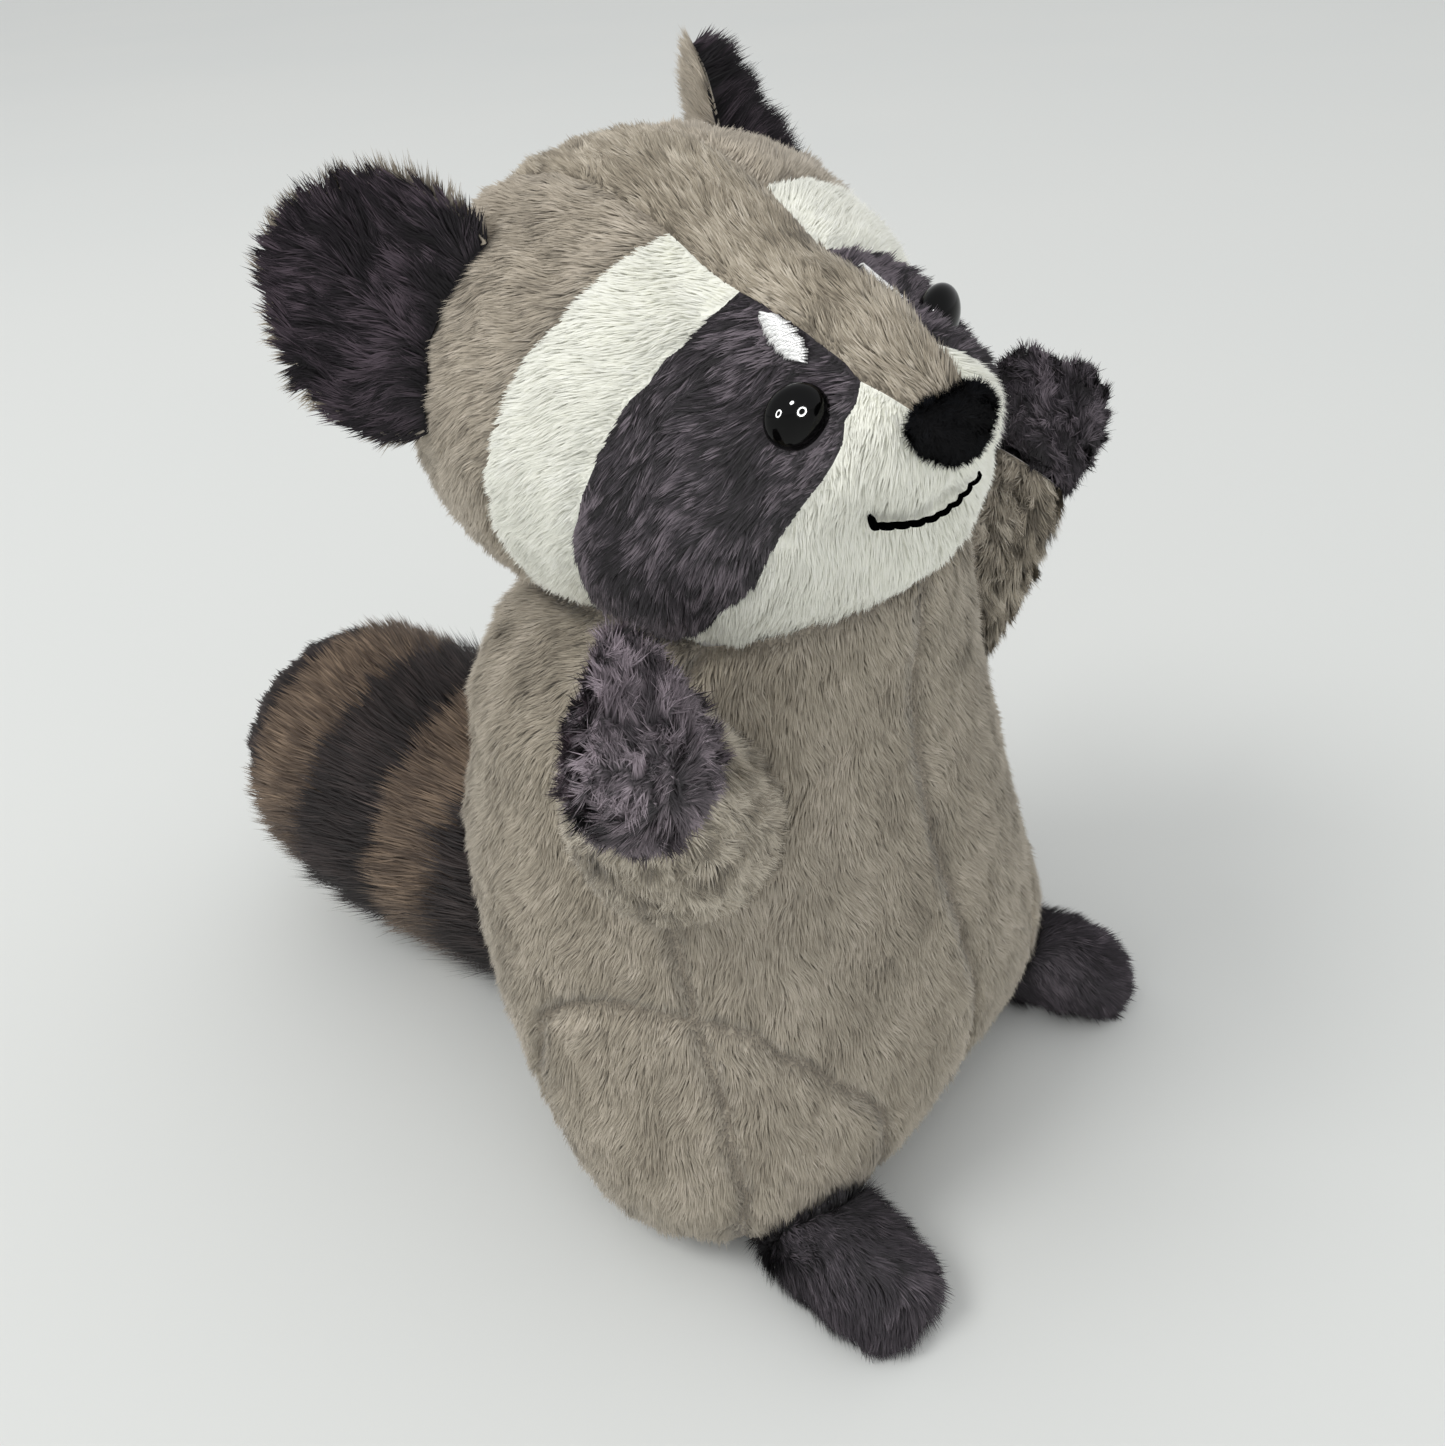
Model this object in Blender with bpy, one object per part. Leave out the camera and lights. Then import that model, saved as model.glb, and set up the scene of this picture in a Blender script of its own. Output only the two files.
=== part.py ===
"""Plush raccoon, sitting upright, arms raised, head turned to its right.

It faces -Y, its own left is +X, and it sits on the plane z = 0.
Cloth panels meet edge to edge at their seams and lie over loose stuffing.
"""

import math

import bmesh
import bpy
import numpy as np
from mathutils import Matrix, Vector

# Cloth and clearances
CLOTH = 0.0022
SEAM_GAP = 0.0003
STUFFING_GAP = 0.0006

# Head, measured from the middle of the neck seam, before it is turned
NECK_BACK = 0.004
HEAD_TURN = math.radians(-20.0)
HEAD_ROLL = math.radians(-6.6)
HEAD_LIFT = math.radians(-11.3)
SKULL_UP = 0.0367
SKULL_BACK = 0.0131
SKULL_HALF_WIDTH = 0.0540
SKULL_HALF_DEPTH = 0.0598
SKULL_HALF_HEIGHT = 0.0498
MUZZLE_FORWARD = 0.0518
MUZZLE_UP = 0.0338
MUZZLE_HALF_WIDTH = 0.0240
MUZZLE_HALF_LENGTH = 0.0279
MUZZLE_HALF_HEIGHT = 0.0147
BRIDGE_FORWARD = 0.041
BRIDGE_UP = 0.0455
BRIDGE_HALF_WIDTH = 0.0150
BRIDGE_HALF_LENGTH = 0.0270
BRIDGE_HALF_HEIGHT = 0.0165
CHEEK_APART = 0.0133
CHEEK_FORWARD = 0.0268
CHEEK_UP = 0.0193
CHEEK_RADIUS = 0.0303
CHEEK_HALF_HEIGHT = 0.0268
CHIN_FORWARD = 0.046
CHIN_UP = 0.014
CHIN_HALF_WIDTH = 0.020
CHIN_HALF_LENGTH = 0.021
CHIN_HALF_HEIGHT = 0.014
HEAD_BLEND = 7.0

# Centre strip of the head, from the nape over the crown to the nose
NAPE_HALF_WIDTH = 0.004
CROWN_HALF_WIDTH = 0.013
BROW_HALF_WIDTH = 0.0105
STRIP_HALF_WIDTH = 0.0090
NOSE_END_HALF_WIDTH = 0.0054

# Places of the seams along the centre strip, as pitch angles about the head's centre:
# 180 degrees is straight back, 90 is up and 0 is straight ahead
NAPE = 172.0
CROWN_BACK = 120.0
STRIPE_BACK = 71.0
MASK_BACK = 48.5
MASK_FRONT = 17.0
NOSE_END = 7.5

# Each seam of the head's side: a middle point, and where it ends on the neck ring in degrees
SEAMS = (
    ((0.0, 0.066, 0.020), 180.0),
    ((0.0505, -0.005, 0.046), 110.0),
    ((0.0425, -0.0275, 0.041), 92.0),
    ((0.0285, -0.055, 0.021), 58.0),
    ((0.0, -0.070, 0.012), 0.0),
)
SIDE_ROW_COUNT = 8

# Ears
EAR_LENGTH = 0.053
EAR_HALF_WIDTH = 0.0240
EAR_THICKNESS = 0.009
EAR_CUP = 0.006
EAR_ROOT = (0.040, 0.015, 0.062)
EAR_TIP = (0.058, 0.044, 0.083)
EAR_FACING = (0.74, -0.60, 0.30)
LEFT_EAR_SHIFT = (-0.0035, 0.0030, 0.0)

# Safety eyes
EYE_RADIUS = 0.006
EYE_DOME = 0.0038
POST_RADIUS = 0.0016
POST_LENGTH = 0.0085
WASHER_RADIUS = 0.0050
WASHER_THICKNESS = 0.0012
EYE_AT = (0.0185, -0.0590, 0.0440)
LEFT_EYE_SHIFT = (0.0, 0.0070, 0.0)

# Nose, brow marks and mouth
NOSE_HALF_WIDTH = 0.0093
NOSE_HALF_HEIGHT = 0.0063
NOSE_DEPTH = 0.0032
NOSE_AT = (-0.0026, -0.0790, 0.0368)
BROW_MARK_AT = (0.0114, -0.0490, 0.0520)
BROW_MARK_LENGTH = 0.0130
BROW_MARK_WIDTH = 0.0062
BROW_MARK_LEAN = math.radians(-38.0)
BROW_MARK_THICKNESS = 0.0012
MOUTH_ASIDE = -0.0030
MOUTH_UP = 0.0210
MOUTH_HALF_WIDTH = 0.0120
MOUTH_SAG = 0.0060
MOUTH_CLEARANCE = 0.0011
MOUTH_POINT_COUNT = 8
THREAD_RADIUS = 0.0006

# Body, as half widths and half depths of its rings and the rise from each to the next
BODY_BACK = 0.010
BASE_BACK = -0.0010
BASE_HALF_WIDTH = 0.064
BASE_HALF_DEPTH = 0.0360
HEM_BACK = -0.0030
HEM_RISE = 0.010
HEM_HALF_WIDTH = 0.073
HEM_HALF_DEPTH = 0.0440
BELLY_BACK = 0.0034
BELLY_RISE = 0.036
BELLY_HALF_WIDTH = 0.075
BELLY_HALF_DEPTH = 0.0634
WAIST_RISE = 0.038
WAIST_HALF_WIDTH = 0.067
WAIST_HALF_DEPTH = 0.067
CHEST_RISE = 0.024
CHEST_HALF_WIDTH = 0.061
CHEST_HALF_DEPTH = 0.062
YOKE_RISE = 0.020
YOKE_HALF_WIDTH = 0.056
YOKE_HALF_DEPTH = 0.058
NECK_RISE = 0.022
BODY_TWIST = math.radians(-14.0)
THIGH_SWELL = 0.011
THIGH_SWELL_UP = 0.022
THIGH_SWELL_AT = math.radians(48.0)
THIGH_TOP_SHARE = 0.74
THIGH_INNER = math.radians(28.0)
SIDE_SEAM = math.radians(55.0)
THIGH_OUTER = math.radians(104.0)
LOWER_ROW_COUNT = 4
UPPER_ROW_COUNT = 7

# Arms and hands
SHOULDER_OUT = 0.041
SHOULDER_FORWARD = 0.006
SHOULDER_ABOVE_CHEST = 0.0
WRIST_OUT = 0.079
WRIST_FORWARD = 0.027
WRIST_RISE = 0.036
SHOULDER_RADIUS = 0.0255
WRIST_RADIUS = 0.0145
ARM_HIDDEN_SHARE = 0.25
ARM_BEND_SHARE = 0.55
ARM_BEND_DROP = 0.006
FINGERS_WAY = (0.42, -0.10, 0.92)
LEFT_PALM_WAY = (-0.55, -0.80, 0.15)
RIGHT_PALM_WAY = (0.36, -0.86, 0.16)
HAND_LENGTH = 0.037
HAND_HALF_WIDTH = 0.0190
HAND_HALF_THICKNESS = 0.0112
FINGER_RADIUS = 0.0047

# Feet
FOOT_OUT = 0.056
FOOT_FORWARD = 0.049
FOOT_LENGTH = 0.053
FOOT_HALF_WIDTH = 0.0150
FOOT_HEIGHT = 0.024
FOOT_SPLAY = math.radians(12.0)
TOE_RADIUS = 0.0062

# Tail, from the back of the body
TAIL_START_BACK = 0.050
TAIL_START_UP = 0.034
TAIL_END_BACK = 0.181
TAIL_END_UP = 0.062
TAIL_SIDE = 0.0
TAIL_ROOT_RADIUS = 0.028
TAIL_RADIUS = 0.036
TAIL_TIP_RADIUS = 0.026
TAIL_BANDS = 5
TAIL_TIP_LENGTH = 0.0215
TAIL_BAND_ROW_COUNT = 2
TAIL_AROUND_COUNT = 16

# Heights that follow from the rises
HEM_UP = HEM_RISE
BELLY_UP = HEM_UP + BELLY_RISE
WAIST_UP = BELLY_UP + WAIST_RISE
CHEST_UP = WAIST_UP + CHEST_RISE
YOKE_UP = CHEST_UP + YOKE_RISE
NECK_UP = YOKE_UP + NECK_RISE
SHOULDER_UP = CHEST_UP + SHOULDER_ABOVE_CHEST
WRIST_UP = SHOULDER_UP + WRIST_RISE

NECK = Vector((0.0, NECK_BACK, NECK_UP))
HEAD_TURNED = (
    Matrix.Rotation(HEAD_LIFT, 4, "X")
    @ Matrix.Rotation(HEAD_ROLL, 4, "Y")
    @ Matrix.Rotation(HEAD_TURN, 4, "Z")
)
HEAD_PLACE = Matrix.Translation(NECK) @ HEAD_TURNED

for old in list(bpy.data.objects):
    bpy.data.objects.remove(old, do_unlink=True)


def material(name, colour, roughness, coat=0.0):
    """A plain Principled material with an sRGB hex colour."""
    made = bpy.data.materials.new(name)
    made.use_nodes = True
    linear = []
    for start in (0, 2, 4):
        share = int(colour[start:start + 2], 16) / 255.0
        linear.append(share / 12.92 if share <= 0.04045 else ((share + 0.055) / 1.055) ** 2.4)
    shader = made.node_tree.nodes["Principled BSDF"]
    shader.inputs["Base Color"].default_value = (*linear, 1.0)
    shader.inputs["Roughness"].default_value = roughness
    shader.inputs["Metallic"].default_value = 0.0
    shader.inputs["Coat Weight"].default_value = coat
    return made


TAN = ("9C8F80", 0.95)
WHITE = ("ECEBE4", 0.95)
DARK = ("4A4245", 0.95)
TAIL_BROWN = ("6B5848", 0.95)
TAIL_DARK = ("2E2625", 0.95)
FELT = ("0F1012", 0.95)
THREAD = ("141214", 0.6)
SATIN = ("F2F1EC", 0.45)
GLOSS = ("080808", 0.06)
NYLON = ("D8D8D2", 0.5)
FIBRE = ("F1EFEA", 1.0)


def place(name, shape, look, on_head=False):
    """Store a bmesh as a named object with its own material."""
    mesh = bpy.data.meshes.new(name)
    bmesh.ops.recalc_face_normals(shape, faces=shape.faces)
    shape.to_mesh(mesh)
    shape.free()
    made = bpy.data.objects.new(name, mesh)
    bpy.context.collection.objects.link(made)
    mesh.materials.append(material(name, *look))
    mesh.shade_smooth()
    mesh.set_sharp_from_angle(angle=math.radians(50.0))
    if on_head:
        made.parent = head_frame
    return made


def cutter(name, shape, on_head=False):
    """A hidden solid that other pieces are trimmed by."""
    made = place(name, shape, NYLON, on_head)
    made.hide_render = True
    made.display_type = "WIRE"
    return made


def combine(piece, other, operation="DIFFERENCE"):
    step = piece.modifiers.new(operation.title(), "BOOLEAN")
    step.operation = operation
    step.solver = "EXACT"
    step.object = other


def through(stations, values, at):
    """Smooth curve through the values at the stations, read at several places."""
    x = np.asarray(stations, float)
    y = np.asarray(values, float).reshape(len(x), -1)
    run = np.diff(x)[:, None]
    rise = np.diff(y, axis=0) / run
    slope = np.empty_like(y)
    slope[0], slope[-1] = rise[0], rise[-1]
    slope[1:-1] = (rise[:-1] * run[1:] + rise[1:] * run[:-1]) / (run[1:] + run[:-1])
    at = np.atleast_1d(np.asarray(at, float))
    k = np.clip(np.searchsorted(x, at, side="right") - 1, 0, len(x) - 2)
    h = run[k]
    s = ((at - x[k])[:, None]) / h
    return (
        y[k] * (1 + 2 * s) * (1 - s) ** 2
        + slope[k] * h * s * (1 - s) ** 2
        + y[k + 1] * s * s * (3 - 2 * s)
        + slope[k + 1] * h * s * s * (s - 1)
    )


def cast(origin, directions, lobes, power):
    """Points where rays leave the rounded union of some ellipsoids."""
    origin = np.asarray(origin, float)
    low = np.zeros(len(directions))
    high = np.full(len(directions), 0.2)
    for _ in range(36):
        middle = (low + high) / 2
        points = origin + directions * middle[:, None]
        filled = 0.0
        for centre, radii in lobes:
            q = (points - np.asarray(centre)) / np.asarray(radii)
            filled = filled + np.maximum((q * q).sum(1), 1e-9) ** (-power / 2)
        inside = filled > 1.0
        low = np.where(inside, middle, low)
        high = np.where(inside, high, middle)
    return origin + directions * low[:, None]


def add_grid(shape, points, labels):
    """Add a grid of quads; labels holds one panel number for each quad."""
    layer = shape.faces.layers.int["panel"]
    rows, columns = points.shape[:2]
    made = [[shape.verts.new(points[i, j]) for j in range(columns)] for i in range(rows)]
    for i in range(rows - 1):
        for j in range(columns - 1):
            face = shape.faces.new((made[i][j], made[i + 1][j], made[i + 1][j + 1], made[i][j + 1]))
            face[layer] = int(labels[i][j])
    return made


def new_skin():
    shape = bmesh.new()
    shape.faces.layers.int.new("panel")
    return shape


def weld(shape):
    bmesh.ops.remove_doubles(shape, verts=shape.verts, dist=1e-5)
    bmesh.ops.triangulate(shape, faces=shape.faces)
    bmesh.ops.recalc_face_normals(shape, faces=shape.faces)
    shape.normal_update()
    shape.verts.index_update()


def panel(skin, normals, number):
    """One cloth panel of a skin, trimmed by half a seam gap and given its thickness."""
    layer = skin.faces.layers.int["panel"]
    faces = [face for face in skin.faces if face[layer] == number]
    chosen = set(faces)
    shift = {}
    for face in faces:
        for loop in face.loops:
            if sum(near in chosen for near in loop.edge.link_faces) > 1:
                continue
            along = loop.link_loop_next.vert.co - loop.vert.co
            inward = face.normal.cross(along).normalized()
            for corner in (loop.vert, loop.link_loop_next.vert):
                shift.setdefault(corner.index, []).append(inward)
    shape = bmesh.new()
    outer, inner = {}, {}
    for face in faces:
        for corner in face.verts:
            if corner.index in outer:
                continue
            spot = corner.co.copy()
            if corner.index in shift:
                total = sum(shift[corner.index], Vector())
                unit = total.normalized()
                spread = max(0.5, min(unit.dot(side) for side in shift[corner.index]))
                spot += unit * (SEAM_GAP / 2 / spread)
            outer[corner.index] = shape.verts.new(spot)
            inner[corner.index] = shape.verts.new(spot - normals[corner.index] * CLOTH)
    for face in faces:
        ring = [corner.index for corner in face.verts]
        shape.faces.new([outer[k] for k in ring])
        shape.faces.new([inner[k] for k in reversed(ring)])
        for loop in face.loops:
            if sum(near in chosen for near in loop.edge.link_faces) > 1:
                continue
            a, b = loop.vert.index, loop.link_loop_next.vert.index
            if a < b:
                shape.faces.new((outer[b], outer[a], inner[b]))
                shape.faces.new((outer[a], inner[a], inner[b]))
            else:
                shape.faces.new((outer[b], outer[a], inner[a]))
                shape.faces.new((outer[b], inner[a], inner[b]))
    return shape


def swollen(skin, normals, amount, lift=None):
    """The whole skin moved outward by an amount, closed at its neck."""
    shape = skin.copy()
    shape.verts.ensure_lookup_table()
    for corner in shape.verts:
        corner.co += normals[corner.index] * amount
        if lift is not None and corner.is_boundary:
            corner.co += lift
    open_edges = [edge for edge in shape.edges if edge.is_boundary]
    if open_edges:
        bmesh.ops.contextual_create(shape, geom=open_edges)
    return shape


head_frame = bpy.data.objects.new("head_frame", None)
bpy.context.collection.objects.link(head_frame)
head_frame.location = NECK
head_frame.rotation_euler = HEAD_TURNED.to_euler()

# The head's outer form: skull, muzzle, bridge, chin and two cheeks blended into one
HEAD_LOBES = (
    ((0.0, SKULL_BACK, SKULL_UP), (SKULL_HALF_WIDTH, SKULL_HALF_DEPTH, SKULL_HALF_HEIGHT)),
    ((0.0, -MUZZLE_FORWARD, MUZZLE_UP), (MUZZLE_HALF_WIDTH, MUZZLE_HALF_LENGTH, MUZZLE_HALF_HEIGHT)),
    ((0.0, -BRIDGE_FORWARD, BRIDGE_UP), (BRIDGE_HALF_WIDTH, BRIDGE_HALF_LENGTH, BRIDGE_HALF_HEIGHT)),
    ((0.0, -CHIN_FORWARD, CHIN_UP), (CHIN_HALF_WIDTH, CHIN_HALF_LENGTH, CHIN_HALF_HEIGHT)),
    ((-CHEEK_APART, -CHEEK_FORWARD, CHEEK_UP), (CHEEK_RADIUS, CHEEK_RADIUS, CHEEK_HALF_HEIGHT)),
    ((CHEEK_APART, -CHEEK_FORWARD, CHEEK_UP), (CHEEK_RADIUS, CHEEK_RADIUS, CHEEK_HALF_HEIGHT)),
)
HEAD_CENTRE = np.array((0.0, -CHEEK_FORWARD * 0.5, SKULL_UP * 0.85))


def on_head(targets):
    """Points of the head's surface seen from its centre toward the targets."""
    rays = np.asarray(targets, float) - HEAD_CENTRE
    rays /= np.linalg.norm(rays, axis=1, keepdims=True)
    return cast(HEAD_CENTRE, rays, HEAD_LOBES, HEAD_BLEND)


def neck_ring(azimuths):
    """The neck seam, where the head's surface meets its own plane z = 0."""
    azimuths = np.atleast_1d(azimuths)
    rays = np.stack((np.sin(azimuths), -np.cos(azimuths), 0 * azimuths), 1)
    return cast((0.0, 0.0, 0.0), rays, HEAD_LOBES, HEAD_BLEND)


STRIP_STATIONS = (NAPE, 140.0, CROWN_BACK, STRIPE_BACK, MASK_BACK, MASK_FRONT, NOSE_END)
STRIP_WIDTHS = (
    NAPE_HALF_WIDTH,
    CROWN_HALF_WIDTH,
    CROWN_HALF_WIDTH,
    BROW_HALF_WIDTH,
    BROW_HALF_WIDTH,
    STRIP_HALF_WIDTH,
    NOSE_END_HALF_WIDTH,
)


def strip_point(pitch, across):
    """A point of the centre strip; across runs from -1 to 1."""
    pitch = np.atleast_1d(np.asarray(pitch, float))
    width = through(STRIP_STATIONS[::-1], STRIP_WIDTHS[::-1], pitch)[:, 0]
    angle = np.radians(pitch)
    rays = np.stack((0 * angle, -np.cos(angle), np.sin(angle)), 1)
    middle = cast(HEAD_CENTRE, rays, HEAD_LOBES, HEAD_BLEND)
    middle[:, 0] += width * across
    return on_head(middle)


def side_columns():
    """Start points along the centre strip, with each one's place among the seams."""
    starts, places, numbers = [], [], []
    spans = (
        (NAPE, STRIPE_BACK, 8, 0, 1),
        (STRIPE_BACK, MASK_BACK, 3, 1, 2),
        (MASK_BACK, MASK_FRONT, 5, 2, 3),
        (MASK_FRONT, NOSE_END, 2, 3, 3.6),
    )
    for across in (0.0, 0.5):
        starts.append(strip_point(NAPE, across)[0])
        places.append(0.10 * across)
        numbers.append(0)
    for first, last, count, left, right in spans:
        for k in range(count):
            share = k / count
            starts.append(strip_point(first + (last - first) * share, 1.0)[0])
            places.append(max(0.1, left + (right - left) * share))
            numbers.append(int(left))
    for across, where in ((1.0, 3.6), (0.5, 3.8), (0.0, 4.0)):
        starts.append(strip_point(NOSE_END, across)[0])
        places.append(where)
        numbers.append(3)
    return np.array(starts), np.array(places), numbers[:-1]


def head_side(sign):
    starts, places, numbers = side_columns()
    order = np.arange(len(SEAMS))
    middles = through(order, [seam[0] for seam in SEAMS], places)
    ends = neck_ring(np.radians(through(order, [seam[1] for seam in SEAMS], places)[:, 0]))
    grid = []
    for start, middle, end in zip(starts, middles, ends):
        share = np.linspace(0.0, 1.0, SIDE_ROW_COUNT + 1)
        line = on_head(through((0.0, 0.55, 1.0), (start, middle, end), share))
        line[0], line[-1] = start, end
        grid.append(line)
    grid = np.array(grid)
    grid[..., 0] *= sign
    labels = [[number + (1 if sign > 0 else 5)] * SIDE_ROW_COUNT for number in numbers]
    return grid, labels


def make_head_skin():
    skin = new_skin()
    pitches = [NAPE]
    for first, last, count in (
        (NAPE, STRIPE_BACK, 8),
        (STRIPE_BACK, MASK_BACK, 3),
        (MASK_BACK, MASK_FRONT, 5),
        (MASK_FRONT, NOSE_END, 2),
    ):
        pitches += [first + (last - first) * k / count for k in range(1, count + 1)]
    strip = np.stack([strip_point(pitches, across) for across in (-1.0, -0.5, 0.0, 0.5, 1.0)], 1)
    add_grid(skin, strip, [[0] * 4] * (len(pitches) - 1))
    for sign in (-1, 1):
        add_grid(skin, *head_side(sign))
    weld(skin)
    normals = {}
    for corner in skin.verts:
        normals[corner.index] = corner.normal.copy()
        if corner.is_boundary:
            normals[corner.index] = Vector((corner.normal.x, corner.normal.y, 0.0)).normalized()
    return skin, normals


head_skin, head_normals = make_head_skin()
lift = Vector((0.0, 0.0, SEAM_GAP / 2))
head_envelope = cutter("cut_head", swollen(head_skin, head_normals, SEAM_GAP, -lift), True)
HEAD_PANELS = (
    ("head_crown", 0, TAN),
    ("head_side_l", 1, TAN),
    ("brow_stripe_l", 2, WHITE),
    ("mask_l", 3, DARK),
    ("muzzle_l", 4, WHITE),
    ("head_side_r", 5, TAN),
    ("brow_stripe_r", 6, WHITE),
    ("mask_r", 7, DARK),
    ("muzzle_r", 8, WHITE),
)
pieces = {}
for name, number, look in HEAD_PANELS:
    pieces[name] = place(name, panel(head_skin, head_normals, number), look, True)
inside = -(CLOTH + STUFFING_GAP)
pieces["head_stuffing"] = place(
    "head_stuffing", swollen(head_skin, head_normals, inside, lift), FIBRE, True
)


def rounded(centre, lobes, power, across, around):
    """A closed soft form: the rounded union of ellipsoids seen from its centre."""
    shape = bmesh.new()
    bmesh.ops.create_uvsphere(shape, u_segments=around, v_segments=across, radius=1.0)
    rays = np.array([corner.co[:] for corner in shape.verts])
    rays /= np.linalg.norm(rays, axis=1, keepdims=True)
    points = cast(centre, rays, lobes, power)
    for corner, point in zip(shape.verts, points):
        corner.co = point
    return shape


def keep_side(shape, point, outward):
    """Cut a closed form by a plane, drop the side its outward arrow points to, and cap it."""
    cut = bmesh.ops.bisect_plane(
        shape,
        geom=shape.verts[:] + shape.edges[:] + shape.faces[:],
        plane_co=point,
        plane_no=outward,
        clear_outer=True,
    )
    edges = [item for item in cut["geom_cut"] if isinstance(item, bmesh.types.BMEdge)]
    bmesh.ops.contextual_create(shape, geom=edges)
    return shape


def frame_at(spot, outward, upward):
    """A frame with +Z along outward and +Y close to upward."""
    z = Vector(outward).normalized()
    x = Vector(upward).cross(z).normalized()
    y = z.cross(x)
    turned = Matrix((x, y, z)).transposed().to_4x4()
    return Matrix.Translation(Vector(spot)) @ turned


def surface_frame(target, upward=(0.0, 0.0, 1.0)):
    """The frame on the head's surface toward a target, with +Z outward."""
    step = 0.002
    spot = on_head([target])[0]
    ray = Vector(spot - HEAD_CENTRE).normalized()
    side = ray.orthogonal().normalized()
    other = ray.cross(side)
    near = on_head([Vector(spot) + side * step, Vector(spot) + other * step])
    outward = Vector(near[0] - spot).cross(Vector(near[1] - spot))
    if outward.dot(ray) < 0:
        outward.negate()
    return frame_at(spot, outward, upward)


def ear_half(front):
    """Half of an ear's thickness: the dark front or the tan back, cupped forward."""
    shape = bmesh.new()
    rings, around = 4, 16
    rows = []
    for i in range(rings + 1):
        share = i / rings
        row = []
        for k in range(around):
            a = 2 * math.pi * k / around
            wide = EAR_HALF_WIDTH * (1.0 - 0.22 * math.sin(a))
            x = wide * share * math.cos(a)
            y = EAR_LENGTH / 2 * share * math.sin(a)
            bulge = EAR_THICKNESS / 2 * math.sqrt(max(0.0, 1.0 - share * share))
            cup = EAR_CUP * (x / EAR_HALF_WIDTH) ** 2
            row.append((x, y, bulge, cup))
        rows.append(row)
    side = 1.0 if front else -1.0
    skins = []
    for closing in (False, True):
        made = []
        for i, row in enumerate(rows):
            if i == 0:
                z = 0.0 if closing else row[0][2]
                made.append([shape.verts.new((0.0, 0.0, side * (SEAM_GAP / 2 + z)))])
                continue
            if i == rings and closing:
                made.append(skins[0][i])
                continue
            line = []
            for x, y, bulge, cup in row:
                z = cup + side * (SEAM_GAP / 2 + (0.0 if closing else bulge))
                line.append(shape.verts.new((x, y, z)))
            made.append(line)
        skins.append(made)
        for k in range(around):
            n = (k + 1) % around
            shape.faces.new((made[0][0], made[1][k], made[1][n]))
            for i in range(1, rings):
                shape.faces.new((made[i][k], made[i + 1][k], made[i + 1][n], made[i][n]))
    return shape


for side, sign in (("l", 1), ("r", -1)):
    mirrored = Vector((sign, 1.0, 1.0))
    root = Vector(EAR_ROOT) * mirrored
    tip = Vector(EAR_TIP) * mirrored
    if side == "l":
        root += Vector(LEFT_EAR_SHIFT)
        tip += Vector(LEFT_EAR_SHIFT)
    up = (tip - root).normalized()
    facing = Vector(EAR_FACING) * mirrored
    facing = (facing - up * facing.dot(up)).normalized()
    middle = root + up * (EAR_LENGTH * 0.30)
    for name, front, look in (("ear_front_", True, DARK), ("ear_back_", False, TAN)):
        ear = place(name + side, ear_half(front), look, True)
        ear.matrix_local = frame_at(middle, facing, up)
        combine(ear, head_envelope)
        pieces[ear.name] = ear


def disc(radius, bottom, top, sides=14):
    shape = bmesh.new()
    bmesh.ops.create_cone(
        shape, cap_ends=True, segments=sides, radius1=radius, radius2=radius, depth=top - bottom
    )
    bmesh.ops.translate(shape, verts=shape.verts, vec=(0.0, 0.0, (top + bottom) / 2))
    return shape


for side, sign in (("l", 1), ("r", -1)):
    target = Vector((sign * EYE_AT[0], EYE_AT[1], EYE_AT[2]))
    if side == "l":
        target += Vector(LEFT_EYE_SHIFT)
    at = surface_frame(target)
    dome = bmesh.new()
    bmesh.ops.create_uvsphere(dome, u_segments=16, v_segments=8, radius=EYE_RADIUS)
    bmesh.ops.scale(dome, verts=dome.verts, vec=(1.0, 1.0, EYE_DOME / EYE_RADIUS))
    eye = place("eye_" + side, dome, (*GLOSS, 1.0), True)
    eye.matrix_local = at
    post = cutter("join_post_" + side, disc(POST_RADIUS, -POST_LENGTH, EYE_DOME / 2, 12), True)
    post.matrix_local = at
    combine(eye, head_envelope)
    combine(eye, post, "UNION")
    hole = cutter(
        "cut_post_hole_" + side, disc(POST_RADIUS + SEAM_GAP, -POST_LENGTH, EYE_DOME, 12), True
    )
    hole.matrix_local = at
    combine(pieces["mask_" + side], hole)
    pocket = cutter(
        "cut_pocket_" + side,
        disc(WASHER_RADIUS + STUFFING_GAP, -POST_LENGTH - STUFFING_GAP, EYE_DOME),
        True,
    )
    pocket.matrix_local = at
    combine(pieces["head_stuffing"], pocket)
    washer_top = -CLOTH - 2 * STUFFING_GAP
    washer = place(
        "eye_washer_" + side,
        disc(WASHER_RADIUS, washer_top - WASHER_THICKNESS, washer_top),
        NYLON,
        True,
    )
    washer.matrix_local = at
    combine(washer, hole)
    pieces[eye.name] = eye
    pieces[washer.name] = washer

    at = surface_frame((sign * BROW_MARK_AT[0], BROW_MARK_AT[1], BROW_MARK_AT[2]))
    mark = bmesh.new()
    bmesh.ops.create_uvsphere(mark, u_segments=12, v_segments=6, radius=1.0)
    bmesh.ops.scale(
        mark,
        verts=mark.verts,
        vec=(BROW_MARK_WIDTH / 2, BROW_MARK_LENGTH / 2, BROW_MARK_THICKNESS),
    )
    bmesh.ops.rotate(mark, verts=mark.verts, matrix=Matrix.Rotation(sign * BROW_MARK_LEAN, 3, "Z"))
    mark = place("brow_mark_" + side, mark, SATIN, True)
    mark.matrix_local = at
    combine(mark, head_envelope)
    pieces[mark.name] = mark

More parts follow.
